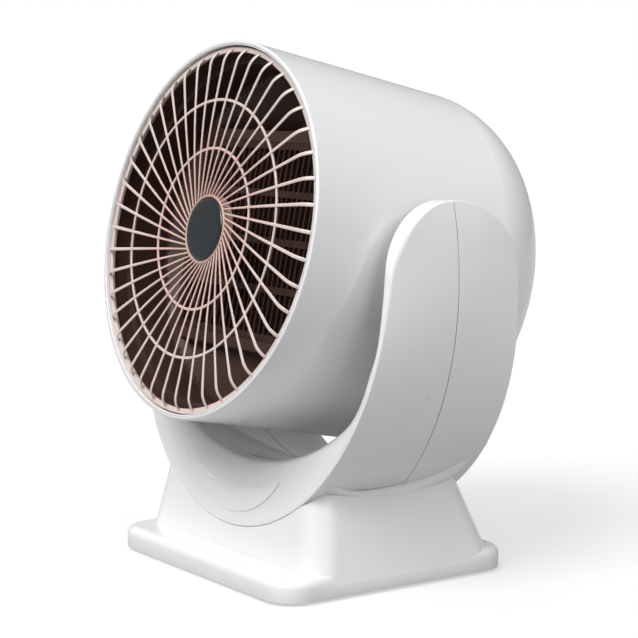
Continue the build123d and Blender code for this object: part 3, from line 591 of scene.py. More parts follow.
@dataclass
class Head:
    """The tilting barrel with its grille, along an axis that rises forward."""

    tilt: float = HEAD_TILT
    pivot: float = PIVOT_HEIGHT
    lip_forward: float = 66.5
    joint_back: float = 35.0
    joint_gap: float = 0.03
    lip_radius: float = 83.6
    joint_radius: float = 82.0
    lip_wall: float = 2.2
    wall: float = 2.6
    rear_round: float = 42.0
    rear_length: float = 78.0
    guard_radius: float = 66.0
    boss_radius: float = 16.0
    boss_bore: float = 7.05
    boss_reach: float = 86.7
    boss_inner: float = 78.4
    lug_circle: float = 75.7
    lug_radius: float = 4.2
    lug_length: float = 6.5
    liner: Pair = (79.5, 80.7)
    liner_reach: Pair = (55.0, 63.0)
    liner_soft: float = 0.3
    lip_soft: Pair = (0.5, 0.9)
    joint_soft: float = 0.02
    joint_lap: float = 0.3
    boss_soft: float = 0.5
    seat_soft: float = 0.35
    steps: int = 180
    boss_steps: int = 72
    liner_steps: int = 120
    lug_steps: int = 20
    round_steps: int = 40

    def place(self, forward: Array, across: Array, up: Array) -> Array:
        """Turns head coordinates into the heater's.

        From the pivot, forward runs along (0, -cos tilt, sin tilt) and up along (0, sin tilt, cos tilt).

        Args:
            forward: distance along the head's axis.
            across: distance to the right.
            up: distance across the axis, upwards.

        Returns:
            The points' places.
        """
        c, s = cos(radians(self.tilt)), sin(radians(self.tilt))
        return layered(across, up * s - forward * c, self.pivot + forward * s + up * c)

    def sideways(self, side: float) -> Placer:
        """Coordinates along the tilt axis, outwards to one side."""
        return lambda along, u, v: self.place(u, side * along, v)

    def lugs(self, skin: Skin, low: float, high: float) -> None:
        """Adds the four screw lugs inside the barrel.

        Args:
            skin: takes the lugs.
            low: the station at which they start.
            high: the station at which they end.
        """
        outline = np.array([(low, 0.0), (low, self.lug_radius), (high, self.lug_radius), (high, 0.0)])
        for quarter in range(4):
            a = pi / 4 + quarter * pi / 2
            x, y = self.lug_circle * cos(a), self.lug_circle * sin(a)
            lug = turned(outline, lambda h, u, v: self.place(h, u + x, v + y), self.lug_steps)
            skin.grid(lug, rows_close=True, columns_close=False)

    def front_housing(self) -> Skin:
        """Works out the front shell.

        Returns:
            The barrel from the joint to the lip, a pivot boss on each side and the screw lugs.
        """
        back = -self.joint_back + self.joint_gap
        corners = [
            (self.lip_forward, self.lip_radius - self.lip_wall),
            (self.lip_forward, self.lip_radius),
            (back, self.joint_radius),
            (back, self.joint_radius - self.wall),
        ]
        skin = Skin()
        outline = softened(corners, [*self.lip_soft, self.joint_soft, self.joint_soft])
        skin.ring(outline, self.place, self.steps)
        boss = rectangle(self.boss_inner, self.boss_reach, self.boss_bore, self.boss_radius)
        for side in (1.0, -1.0):
            skin.ring(softened(boss, self.boss_soft), self.sideways(side), self.boss_steps)
        self.lugs(skin, back, back + self.lug_length)
        return skin

    def rear_housing(self) -> Skin:
        """Works out the rear shell: a quarter round between the joint and the guard's seat.

        A point of the round at an angle a lies back by the round's radius times sin a from its centre
        and out by the radius times cos a. The wall is the space between two such rounds.

        Returns:
            The shell with its screw lugs.
        """
        centre_back = self.rear_length - self.rear_round
        centre_out = self.joint_radius - self.rear_round
        end = np.arccos((self.guard_radius - centre_out) / self.rear_round)
        a = np.linspace(0.0, end, self.round_steps)
        joint = -self.joint_back

        def line(radius: float, angles: Array) -> Array:
            """Points of a round of that radius at those angles."""
            back, out = -centre_back - radius * np.sin(angles), centre_out + radius * np.cos(angles)
            return np.stack([back, out], axis=-1)

        outer = line(self.rear_round, np.append(a[:-1], end - self.seat_soft / self.rear_round))
        edge = line(self.rear_round - self.seat_soft, np.array([end]))
        inner = line(self.rear_round - self.wall, a[::-1])
        start = [(joint, self.joint_radius - self.joint_soft), (joint - self.joint_lap, self.joint_radius)]
        close = [(joint, self.joint_radius - self.wall)]
        skin = Skin()
        skin.ring(np.concatenate([start, outer, edge, inner, close]), self.place, self.steps)
        self.lugs(skin, joint - self.lug_length, joint)
        return skin

    def duct_mouth(self) -> Skin:
        """Works out the duct's mouth.

        Returns:
            A dark collar that carries the duct forward to the back of the grille's rim.
        """
        skin = Skin()
        section = rectangle(*self.liner_reach, *self.liner)
        skin.ring(softened(section, self.liner_soft), self.place, self.liner_steps)
        return skin

    def build(self, maker: Maker) -> None:
        """Makes the barrel's two shells and finishes what it carries inside.

        Args:
            maker: takes the pieces.
        """
        maker.surface("barrel_front", self.front_housing(), Body.HEAD, "front_housing")
        maker.surface("barrel_rear", self.rear_housing(), Body.HEAD, "rear_housing")
        maker.surface("duct_mouth", self.duct_mouth(), Body.HEAD, "air_duct")
        for node in ("rear_guard", "air_duct", "element_frame", "motor_bracket", "fan_motor", "pivot_pins"):
            maker.smoothed(node, Body.HEAD)
        for node in ("fan_impeller", "motor_shaft"):
            maker.smoothed(node, Body.FAN)


@dataclass
class Grille:
    """Rose grille: bars laid tangent to a small circle, two thin rings, the rim and the hub."""

    head: Head
    count: int = 44
    offset: float = 8.5
    turn: float = -11.5
    widths: Pair = (0.75, 1.65)
    bar_ends: Pair = (0.4, -0.8)
    bar_spread: float = 1.5
    depth: float = 0.9
    shoulder: float = 0.3
    crown: float = 68.4
    level_from: float = 61.0
    hub_dish: float = 2.9
    hook_from: float = 72.5
    hook_reach: float = 7.5
    hook_fall: float = 3.2
    hook_power: float = 2.5
    circles: Pair = (56.9, 35.6)
    circle_width: float = 1.25
    circle_sink: float = 0.3
    circle_soft: float = 0.35
    rim: Pair = (78.6, 81.0)
    rim_reach: Pair = (63.2, 64.9)
    rim_soft: float = 0.5
    hub: float = 14.2
    hub_ring: float = 1.1
    hub_proud: float = 0.4
    hub_depth: float = 5.0
    hub_soft: float = 0.4
    cap_gap: float = 0.15
    cap_proud: float = 0.5
    cap_depth: float = 4.0
    cap_crown: float = 0.15
    cap_round: float = 0.1
    cap_step: float = 0.12
    cap_start: float = 0.15
    stations: int = 44
    around: int = 12
    ring_steps: int = 144
    cap_steps: int = 96
    cap_rows: tuple[int, int] = (12, 8)

    def front(self, radius: Array) -> Array:
        """Works out the front of the bars.

        Level from just outside the outer circle to the hook. Towards the hub it falls by the dish times
        the square of the share of the way, and past the hook's start by its fall times a power of its
        share.

        Args:
            radius: distance from the head's axis.

        Returns:
            The station of the front along the axis.
        """
        inward = np.maximum(self.level_from - radius, 0.0) / (self.level_from - self.hub)
        outward = np.maximum(radius - self.hook_from, 0.0) / self.hook_reach
        return self.crown - self.hub_dish * inward**2 - self.hook_fall * outward**self.hook_power

    def bar(self, angle: float) -> Array:
        """One bar: an egg-shaped section carried along a straight line across the face.

        At a distance t along it the bar's middle is t from the foot of the offset, its front follows
        the crown and its width grows evenly. The section is half its width times cos b to each side.
        Its front half is as deep as the shoulder's share of the depth times sin b, its back half takes
        the rest. The stations lie closer together towards the rim.

        Args:
            angle: the bar's turn about the head's axis, radians.

        Returns:
            Grid of stations by section points.
        """
        radii = (self.hub + self.bar_ends[0], self.rim[1] + self.bar_ends[1])
        ends = [np.sqrt(r**2 - self.offset**2) for r in radii]
        share = 1.0 - (1.0 - np.linspace(0.0, 1.0, self.stations)[:, None]) ** self.bar_spread
        t = ends[0] + (ends[1] - ends[0]) * share
        b = np.linspace(0.0, 2 * pi, self.around, endpoint=False)[None, :]
        width = self.widths[0] + (self.widths[1] - self.widths[0]) * share
        side = self.offset + width / 2 * np.cos(b)
        half = np.where(np.sin(b) > 0, self.shoulder, 1.0 - self.shoulder)
        forward = self.front(np.hypot(t, self.offset)) + self.depth * (half * np.sin(b) - self.shoulder)
        across = t * cos(angle) - side * sin(angle)
        up = t * sin(angle) + side * cos(angle)
        return self.head.place(forward, across, up)

    def ring(self, skin: Skin, section: list, soft: float) -> None:
        """Adds a soft-edged ring about the head's axis."""
        skin.ring(softened(section, soft), self.head.place, self.ring_steps)

    def cap(self, front: float) -> Skin:
        """Works out the dark disc.

        It is flat in the middle and falls by the crown times the fourth power of the radius's share,
        then a round edge: at an angle a, back by its radius times 1 less cos a and out by it times sin a.

        Args:
            front: the station of its middle.

        Returns:
            The disc.
        """
        edge = self.hub - self.cap_gap
        r = edge * np.linspace(0.0, 1.0 - self.cap_round, self.cap_rows[0])
        a = np.linspace(self.cap_start, pi / 2, self.cap_rows[1])
        soft = self.cap_round * edge
        face = np.stack([front - self.cap_crown * (r / edge) ** 4, r], -1)
        drop = self.cap_step + soft * (1 - np.cos(a))
        side = np.stack([front - drop, edge - soft + soft * np.sin(a)], -1)
        back = np.array([(front - self.cap_depth, edge), (front - self.cap_depth, 0.0)])
        disc = turned(np.concatenate([face, side, back]), self.head.place, self.cap_steps)
        skin = Skin()
        skin.grid(disc, rows_close=True, columns_close=False)
        return skin

    def build(self, maker: Maker) -> None:
        """Makes the grille and its dark hub.

        Args:
            maker: takes the pieces.
        """
        skin = Skin()
        for index in range(self.count):
            skin.grid(self.bar(radians(self.turn) + index * 2 * pi / self.count), ends=True)
        half = self.circle_width / 2
        for radius in self.circles:
            front = float(self.front(np.array(radius))) - self.circle_sink
            section = rectangle(front - self.depth, front, radius - half, radius + half)
            self.ring(skin, section, self.circle_soft)
        self.ring(skin, rectangle(*self.rim_reach, *self.rim), self.rim_soft)
        front = float(self.front(np.array(self.hub))) + self.hub_proud
        section = rectangle(front - self.hub_depth, front, self.hub, self.hub + self.hub_ring)
        self.ring(skin, section, self.hub_soft)
        maker.surface("grille_front", skin, Body.HEAD, "front_grille")
        maker.surface("hub_disc", self.cap(front + self.cap_proud), Body.HEAD, "hub_cap")


# Yoke


@dataclass
class Yoke:
    """U-shaped yoke of two shells that meet on the middle plane.

    Its outer surface is a U, a half circle with two straight arms, crowned towards the middle plane. A
    place on it is a walk s along the U from the bottom and a depth y. Its inner surface is ruled between
    a front and a rear ellipse, and a place on it is an angle from the bottom and a depth y.
    """

    radius: float = 94.5
    centre: float = 117.0
    middle_half: float = 97.3
    middle_depth: float = 116.0
    arm_centre: float = 135.0
    arm_round: float = 34.5
    lean: float = 9.0
    margin: float = 6.0
    hollow_centre: float = 113.0
    hollow_top: float = 140.0
    hollow_half: Pair = (92.6, 90.0)
    hollow_depth: Pair = (59.6, 84.0)
    gap: float = 0.4
    joint_soft: float = 0.12
    outer_soft: Pair = (0.6, 2.6)
    outer_bulge: Pair = (1.3, 0.33)
    inner_soft: Pair = (0.6, 9.0)
    inner_fade: Pair = (0.5, 0.28)
    pivot: float = PIVOT_HEIGHT
    pad_reach: float = 88.6
    pad_radius: float = 15.0
    pad_bore: float = 7.1
    pad_depth: float = 4.6
    pad_soft: float = 0.3
    dish_radius: float = 21.0
    dish_edge: float = 3.0
    dish_cover: float = 0.3
    arm_from: float = 70.0
    bevel_share: float = 0.35  # of the joint's soft edge
    widest_angle: float = 1.4
    least_slope: float = 0.3
    search_steps: int = 12
    rows_low: int = 80
    rows_top: int = 26
    columns: int = 15
    edge_steps: int = 7
    rim_steps: int = 4
    pad_steps: int = 40

    def __post_init__(self) -> None:
        """Works out the lean's sine and cosine and where the front's line touches the arm's round top."""
        self.cos_lean, self.sin_lean = cos(radians(self.lean)), sin(radians(self.lean))
        self.quarter = pi / 2 * self.radius
        self.touch_y = -self.arm_round * self.cos_lean
        self.touch_z = self.arm_centre + self.arm_round * self.sin_lean
        self.rear_y = self.arm_round + self.margin

    def front(self, z: Array) -> Array:
        """Depth of the leaning front face at a height."""
        return self.touch_y - tan(radians(self.lean)) * (self.touch_z - z)

    def normal(self, s: Array) -> Array:
        """Outward direction across the U at a walk: (sin a, 0, -cos a) with a the walk over the radius."""
        a = np.clip(s / self.radius, -pi / 2, pi / 2)
        return layered(np.sin(a), 0.0, -np.cos(a))

    def outer(self, s: Array, y: Array) -> Array:
        """Works out points of the outer surface.

        The base line is the half circle, then straight up. Along its normal the middle ellipse lies
        further out by d, the larger root of the line's quadratic with the ellipse, and the surface
        stands proud by d times 1 less the square of y over its reach.

        Args:
            s: walk along the U from its bottom.
            y: depth.

        Returns:
            The points.
        """
        s, y = np.broadcast_arrays(s, y)
        n = self.normal(s)
        x = self.radius * n[..., 0]
        z = self.centre + self.radius * n[..., 2] + np.maximum(np.abs(s) - self.quarter, 0.0)
        over, under = self.middle_half**-2, self.middle_depth**-2
        rise = z - self.arm_centre
        k2 = n[..., 0] ** 2 * over + n[..., 2] ** 2 * under
        k1 = x * n[..., 0] * over + rise * n[..., 2] * under
        k0 = x**2 * over + rise**2 * under - 1.0
        proud = (np.sqrt(np.maximum(k1**2 - k2 * k0, 0.0)) - k1) / k2
        reach = np.where(y < 0, self.front(z) - self.margin / self.cos_lean, self.rear_y)
        proud = proud * (1.0 - (y / reach) ** 2)
        return layered(x + n[..., 0] * proud, y, z + n[..., 2] * proud)

    def under(self, x: Array, y: Array) -> Array:
        """Finds the outer surface straight above a place, by steps of its own slope.

        Args:
            x: distance from the middle.
            y: depth.

        Returns:
            The surface's height there.
        """
        a = np.arcsin(np.clip(np.abs(x) / self.radius, 0.0, sin(self.widest_angle)))
        for _ in range(self.search_steps):
            found = self.outer(a * self.radius, y)
            step = (np.abs(x) - found[..., 0]) / (self.radius * np.cos(a))
            a = np.clip(a + step, 0.0, self.widest_angle)
        return self.outer(a * self.radius, y)[..., 2]

    def walk_at(self, z: Array, y: Array) -> Array:
        """Finds the walk that reaches a height below the U's centre, by steps of its slope.

        Args:
            z: height.
            y: depth.

        Returns:
            The walk along the U.
        """
        a = np.arccos(np.clip((self.centre - z) / self.radius, -1.0, 1.0))
        for _ in range(self.search_steps):
            found = self.outer(a * self.radius, y)
            a = a + (z - found[..., 2]) / (self.radius * np.maximum(np.sin(a), self.least_slope))
        return a * self.radius

    def inner(self, angle: Array, y: Array) -> Array:
        """Works out points of the inner surface.

        The front ellipse lies on a plane parallel to the leaning face, the rear one is upright. Straight
        lines join them at equal angles, and y picks the place on the line. Round the pivots the wall is
        pushed out to the bearing pads, in a dish with a smooth edge.

        Args:
            angle: from the bottom, pi at the top.
            y: depth.

        Returns:
            The points.
        """
        angle, y = np.broadcast_arrays(angle, y)
        c = -np.cos(angle)
        rises = [np.where(c > 0, self.hollow_top, depth) * c for depth in self.hollow_depth]
        along = (self.hollow_centre - self.touch_z) / self.cos_lean + rises[0]
        y0 = self.touch_y - self.margin * self.cos_lean + along * self.sin_lean
        z0 = self.touch_z + self.margin * self.sin_lean + along * self.cos_lean
        share = (y - y0) / (self.rear_y - y0)
        half = self.hollow_half[0] + share * (self.hollow_half[1] - self.hollow_half[0])
        z = z0 + share * (self.hollow_centre + rises[1] - z0)
        x = half * np.sin(angle)
        dish = smooth_step((self.dish_radius - np.hypot(y, z - self.pivot)) / self.dish_edge)
        push = np.maximum(self.pad_reach + self.dish_cover - np.abs(x), 0.0)
        return layered(x + np.sign(x) * push * dish * (np.abs(x) > self.arm_from), y, z)

    def inner_at(self, y: Array, z: Array) -> Array:
        """Finds the angle at which the inner surface passes a height, by steps of its slope.

        Args:
            y: depth.
            z: height.

        Returns:
            The angle from the bottom.
        """
        c = np.clip((z - self.hollow_centre) / self.hollow_top, -1.0, 1.0)
        for _ in range(self.search_steps):
            c = c + (z - self.inner(np.arccos(-c), y)[..., 2]) / self.hollow_top
        return np.arccos(-c)

    def edge(self, inside: bool, row: Array, inset: Array, side: float) -> tuple[Array, Array]:
        """Works out a surface's edge, moved inwards by an inset.

        The arm's round top is a circle about the arm's centre. Below it the rear edge is upright, and
        the front edge lies on the leaning face, found step by step.

        Args:
            inside: it is the inner surface's edge, not the outer one's.
            row: 0 at the bottom, 1 where the arm's round top starts and 2 at its highest point.
            inset: distance in from the edge.
            side: -1 for the front shell and 1 for the rear shell.

        Returns:
            The surface's own walk or angle, and the depth.
        """
        start = radians(self.lean) if side < 0 else 0.0
        a = start + np.clip(row - 1.0, 0.0, 1.0) * (pi / 2 - start)
        r = self.arm_round - inset
        y_top = side * np.maximum(r * np.cos(a), self.gap / 2 + self.joint_soft)
        z_top = self.arm_centre + r * np.sin(a)
        way = self.inner_at(y_top, z_top) if inside else self.quarter + z_top - self.centre
        way = np.where(row < 1.0, row * way, way)
        if side > 0:
            return way, np.where(row < 1.0, r, y_top)
        surface = self.inner if inside else self.outer
        y = self.touch_y + 0.0 * way
        for _ in range(self.search_steps):
            y = self.front(surface(way, y)[..., 2]) + inset / self.cos_lean
        return way, np.where(row < 1.0, y, y_top)

    def half_loops(self, side: float) -> Array:
        """Works out closed sections of one shell from the bottom up one arm.

        Each section runs over the outer surface from the joint to the edge, round the edge, over the
        flat rim, round the inner edge and over the inner surface back to the joint. A soft edge of
        radius r at an angle a lies r (1 - sin a) in from the rim and r (1 - cos a) under its surface.
        In front, the outer edge is softest at the shoulder of the arm's round top, by a bell curve, and
        the inner edge is a wide roll in the U's bottom that narrows up the arms.

        Args:
            side: -1 for the front shell and 1 for the rear shell.

        Returns:
            Grid of rows by section points.
        """
        row = np.append(np.linspace(0.0, 1.0, self.rows_low), np.linspace(1.0, 2.0, self.rows_top)[1:])
        row = row[:, None]
        joint = side * self.gap / 2
        soft_joint = joint + side * self.joint_soft
        share = eased(self.columns)[None, :]
        turn = np.linspace(0.0, pi / 2, self.edge_steps)[None, :]

        narrow, wide = self.outer_soft
        middle, width = self.outer_bulge
        r = narrow + (wide - narrow) * np.exp(-(((row - middle) / width) ** 2)) * (side < 0)
        s, y = self.edge(False, row, r, side)
        over = self.outer(s, soft_joint + share * (y - soft_joint))
        s_soft, y_soft = self.edge(False, row, r * (1 - np.sin(turn)), side)
        outer_soft = self.outer(s_soft, y_soft) - self.normal(s_soft) * (r * (1 - np.cos(turn)))[..., None]

        narrow, wide = self.inner_soft
        start, length = self.inner_fade
        r = narrow + (wide - narrow) * (1.0 - smooth_step((row - start) / length)) * (side < 0)
        angle, y = self.edge(True, row, r, side)
        angle_soft, y_soft = self.edge(True, row, r * (1 - np.sin(turn[:, ::-1])), side)
        held = np.minimum(angle_soft, pi / 2)
        into = layered(np.sin(held), 0.0, -np.cos(held))
        inner_soft = self.inner(angle_soft, y_soft) + into * (r * (1 - np.cos(turn[:, ::-1])))[..., None]

        y_across = y + share * (soft_joint - y)
        level = self.inner(angle, y)[..., 2]
        start = np.argmax(row >= 1.0)
        drop = self.inner(angle[start], np.array([soft_joint]))[..., 2] - level[start]
        z_across = level + share * drop * np.clip(2.0 - row, 0.0, 1.0)
        angles = np.where(row < 1.0, angle, self.inner_at(y_across, z_across))
        inside = self.inner(angles, y_across)

        flat = np.linspace(0.0, 1.0, self.rim_steps)[1:-1][None, :, None]
        rim = outer_soft[:, -1:] * (1 - flat) + inner_soft[:, :1] * flat
        bevel = np.array([[self.bevel_share, 0.0]]) * self.joint_soft
        sunk = self.joint_soft - bevel
        low = inside[:, -1:] + into[:, -1:] * sunk[..., None]
        low[..., 1] = joint + side * bevel
        high = over[:, :1] - self.normal(s) * sunk[..., ::-1, None]
        high[..., 1] = joint + side * bevel[:, ::-1]
        return np.concatenate([over, outer_soft[:, 1:], rim, inner_soft, inside[:, 1:], low, high], axis=1)

    def pads(self, skin: Skin, side: float) -> None:
        """Adds the halves of the two bearing pads that belong to one shell.

        Args:
            skin: takes them.
            side: -1 for the front shell and 1 for the rear shell.
        """
        section = rectangle(self.pad_reach, self.pad_reach + self.pad_depth, self.pad_bore, self.pad_radius)
        outline = softened(section, self.pad_soft)
        along, turn = outline[:, 0], np.linspace(-pi / 2, pi / 2, self.pad_steps)[:, None]
        depth = side * (outline[:, 1] * np.cos(turn) + self.gap / 2)
        height = self.pivot + outline[:, 1] * np.sin(turn)
        for arm in (1.0, -1.0):
            skin.grid(layered(arm * along, depth, height), ends=True)

    def shell(self, side: float) -> Skin:
        """Works out one shell.

        Args:
            side: -1 for the front shell and 1 for the rear shell.

        Returns:
            Its half sections down one arm, mirrored up the other, and its halves of the pads.
        """
        loops = self.half_loops(side)
        skin = Skin()
        skin.grid(np.concatenate([loops[::-1], loops[1:] * [-1.0, 1.0, 1.0]]), ends=True)
        self.pads(skin, side)
        return skin

    def on_face(self, x: Array, up: Array, out: Array) -> Array:
        """Works out points of the leaning front face.

        Args:
            x: distance from the middle.
            up: distance up the face.
            out: distance out of it.

        Returns:
            The points.
        """
        y = self.touch_y + up * self.sin_lean - out * self.cos_lean
        return layered(x, y, self.touch_z + up * self.cos_lean + out * self.sin_lean)

    def build(self, maker: Maker) -> None:
        """Makes the two shells, the touch panel and the washers.

        Args:
            maker: takes the pieces.
        """
        maker.surface("yoke_front", self.shell(-1.0), Body.STAND, "yoke_front_shell")
        maker.surface("yoke_rear", self.shell(1.0), Body.STAND, "yoke_rear_shell")
        maker.surface("touch_panel", TouchPanel(self).skin(), Body.STAND, "control_panel")
        maker.smoothed("friction_washers", Body.STAND)


@dataclass
class TouchPanel:
    """Crescent between two arcs on the yoke's front, a hair proud of it, with a soft edge."""

    yoke: Yoke
    top_radius: float = 80.0
    top_centre: float = 117.0
    low_radius: float = 43.0
    low_centre: float = 70.0
    proud: float = 0.05
    soft: float = 0.12
    soft_most: float = 0.3  # of the crescent's width
    depth: float = 1.2
    steps: int = 90
    soft_steps: int = 5
    flat_steps: int = 6
    tip_share: float = 0.999

    def skin(self) -> Skin:
        """Works out the crescent as sections across it, from tip to tip.

        The tips lie where the two circles meet. At each x the lower arc is its centre less the root of
        its radius squared less x squared, and the upper arc likewise.

        Returns:
            The crescent.
        """
        top, low = [(c - self.yoke.touch_z) / self.yoke.cos_lean for c in (self.top_centre, self.low_centre)]
        apart = top - low
        drop = (apart**2 + self.top_radius**2 - self.low_radius**2) / (2 * apart)
        tip = np.sqrt(self.top_radius**2 - drop**2)
        x = tip * (2.0 * eased(self.steps) - 1.0)[:, None] * self.tip_share
        high_line = top - np.sqrt(self.top_radius**2 - x**2)
        low_line = low - np.sqrt(self.low_radius**2 - x**2)
        width = high_line - low_line
        soft = np.minimum(self.soft, self.soft_most * width)
        turn = np.linspace(0.0, pi / 2, self.soft_steps)[None, :]
        share = np.linspace(0.0, 1.0, self.flat_steps)[None, 1:-1]
        low_soft = low_line + soft * (1 - np.sin(turn))
        out_soft = self.proud - soft * (1 - np.cos(turn))
        middle = low_line + soft + share * (width - 2 * soft)
        high_soft = high_line - soft * (1 - np.sin(turn))
        across = np.concatenate([low_line, low_soft[:, ::-1], middle, high_soft, high_line], axis=1)
        flat = self.proud + 0 * middle
        back = -self.depth + 0 * low_line
        out = np.concatenate([back, out_soft[:, ::-1], flat, out_soft, back], axis=1)
        skin = Skin()
        skin.grid(self.yoke.on_face(x, across, out), ends=True)
        return skin


# Base


class Walk:
    """A walk once round a rectangle with round corners, shared by outlines of every size.

    Each step holds the signs of the corner's centre, between -1 and 1 along a straight side, and the
    direction from that centre to the outline.
    """

    def __init__(self, run: int = 34, turn: int = 12) -> None:
        """Lays out the four corners and the sides between them.

        Args:
            run: steps along each side.
            turn: steps round each corner.
        """
        signs, ways = [], []
        corners = [(1.0, -1.0), (1.0, 1.0), (-1.0, 1.0), (-1.0, -1.0)]
        for index, corner in enumerate(corners):
            a = (index - 1) * pi / 2 + np.linspace(0.0, pi / 2, turn + 1)
            signs.append(np.tile(corner, (turn + 1, 1)))
            ways.append(np.stack([np.cos(a), np.sin(a)], axis=-1))
            share = eased(run + 1)[1:-1, None]
            after = np.array(corners[(index + 1) % 4])
            signs.append(np.array(corner) * (1 - share) + after * share)
            ways.append(np.tile(ways[-1][-1], (run - 1, 1)))
        self.sign = np.concatenate(signs)
        self.way = np.concatenate(ways)

    def outline(self, half: Array, front: Array, back: Array, corner: float) -> tuple[Array, Array]:
        """Places one outline.

        Args:
            half: its half width.
            front: its front side's y.
            back: its back side's y.
            corner: its corner radius.

        Returns:
            x and y of its points.
        """
        x = self.sign[:, 0] * (half - corner) + corner * self.way[:, 0]
        y = (front + back) / 2 + self.sign[:, 1] * ((back - front) / 2 - corner) + corner * self.way[:, 1]
        return x, y


@dataclass
class Base:
    """Flat plate with soft edges and a tapered pedestal whose saddle holds the yoke."""

    yoke: Yoke
    half_width: float = 70.0
    half_depth: float = 62.0
    middle: float = -8.0
    low: float = 1.2
    high: float = 11.0
    corner: float = 14.0
    top_round: float = 4.0
    wall: float = 2.6
    pedestal_half: float = 69.0
    pedestal_slope: float = 0.215
    pedestal_back: float = 46.0
    back_slope: float = 0.39
    pedestal_corner: float = 13.0
    pedestal_low: float = 6.4
    tuck: float = 0.03
    flush_from: float = 0.35
    foot_bevel: float = 0.5
    foot_crease: float = 0.12
    round_guard: float = 0.8
    top_guard: float = 0.6
    top_steps: int = 9
    hole_edge: float = 1.0
    hole_corner: float = 10.0
    top_soft: float = 0.5
    inside_least: float = 4.0
    wall_steps: int = 22
    soft_steps: int = 5
    seat: float = 0.2
    rear_cover: float = 0.1
    back_from: float = 0.99
    search_steps: int = 60
    search_share: float = 0.4
    saddle_low: float = 40.4
    saddle_turn: float = -2.0
    saddle_bends: Pair = (0.0026, 0.0046)
    lip_low: float = 43.4
    lip_turn: float = -17.0
    lip_bends: Pair = (0.0089, 0.0030)
    horn_start: float = 12.0
    horn_bend: float = 0.0190
    lip_ends: Pair = (-46.0, 34.4)
    lip_cover: float = 0.15
    lip_depths: Pair = (1.0, 1.4)
    lip_steps: int = 70
    lip_columns: int = 12
    corner_most: float = 0.9
    bulges: Triple = (0.15, 0.6, 1.1)
    bulge_runs: Pair = (12.0, 16.0)
    walk: Walk = field(default_factory=Walk)

    def pedestal_outline(self, z: Array, inset: float) -> tuple[Array, Array]:
        """Works out the pedestal's outline: it narrows evenly, and its front is the yoke's own face.

        Args:
            z: height.
            inset: distance in from the wall's outside.

        Returns:
            x and y of its points.
        """
        above = z - self.high
        half = self.pedestal_half - self.pedestal_slope * above - inset
        front = self.yoke.front(z) + inset
        back = self.pedestal_back - self.back_slope * above - inset
        return self.walk.outline(half, front, back, self.pedestal_corner - inset)

    def saddle_height(self, y: Array) -> Array:
        """Lower line of the saddle's lip on the side walls: two parabolas that meet level."""
        off = y - self.saddle_turn
        return self.saddle_low + np.where(off < 0, self.saddle_bends[0], self.saddle_bends[1]) * off**2

    def lip_height(self, y: Array) -> Array:
        """Works out the lip's upper line on the yoke.

        Args:
            y: depth.

        Returns:
            Two parabolas that meet level, and a steeper one added at the back.
        """
        off = y - self.lip_turn
        gentle = self.lip_low + np.where(off < 0, self.lip_bends[0], self.lip_bends[1]) * off**2
        return gentle + self.horn_bend * np.maximum(y - self.horn_start, 0.0) ** 2

    def wall_top(self) -> Array:
        """Finds the height at which the wall ends, all the way round.

        Returns:
            The lower of the yoke's underside and the saddle's line, but at the back no lower than where
            the wall meets the yoke's rear plane. Each depends on the place, so the height is found by
            many part steps towards it.
        """
        z = np.full(len(self.walk.sign), self.saddle_low)
        rear = self.yoke.arm_round - self.rear_cover
        at_back = self.walk.sign[:, 1] > self.back_from
        for _ in range(self.search_steps):
            x, y = self.pedestal_outline(z, 0.0)
            wanted = np.minimum(self.yoke.under(x, y) - self.seat, self.saddle_height(y))
            behind = np.where(at_back, z + (y - rear) / self.back_slope, 0.0)
            z = z + self.search_share * (np.maximum(wanted, behind) - z)
        return z

    def plate(self, skin: Skin) -> None:
        """Adds the plate: loops from the inner wall round the rim, over the top and down into its hole.

        Its edges are rounded. Away from the corners its sides lean in with the pedestal's walls, a hair
        inside them, so that wall and plate run on without a ledge.

        Args:
            skin: takes the plate.
        """
        turn = np.linspace(0.0, pi / 2, self.top_steps)
        r, bevel, crease = self.top_round, self.foot_bevel, self.foot_crease
        insets = [self.wall, self.wall, bevel, crease, 0.0, 0.0]
        heights = [self.high - self.wall, self.low, self.low]
        heights += [self.low + crease, self.low + bevel, self.high - r - self.round_guard]
        side_insets = list(insets)
        insets += list(r * (1 - np.cos(turn))) + [r + self.top_guard]
        heights += list(self.high - r + r * np.sin(turn)) + [self.high]
        flush = self.high - (self.half_width - self.pedestal_half) / self.pedestal_slope
        lean = np.maximum(np.array(heights[len(side_insets) :]) - flush, 0.0) * self.pedestal_slope
        side_insets += list(lean + self.tuck)
        from_corner = smooth_step((1.0 - np.abs(self.walk.sign[:, 1])) / self.flush_from)
        loops = []
        for inset, side_inset, z in zip(insets, side_insets, heights):
            front, back = [self.middle + way * (self.half_depth - inset) for way in (-1.0, 1.0)]
            half = self.half_width - inset + (inset - side_inset) * from_corner
            outline = self.walk.outline(half, front, back, self.corner - inset)
            loops.append(layered(*outline, z))
        hole_half = self.half_width - r - self.hole_edge
        front, back = self.yoke.front(self.high) + self.wall, self.pedestal_back - self.wall
        outline = self.walk.outline(hole_half, front, back, self.hole_corner)
        loops += [layered(*outline, z) for z in (self.high, self.high - self.wall)]
        skin.grid(np.stack(loops), rows_close=True)

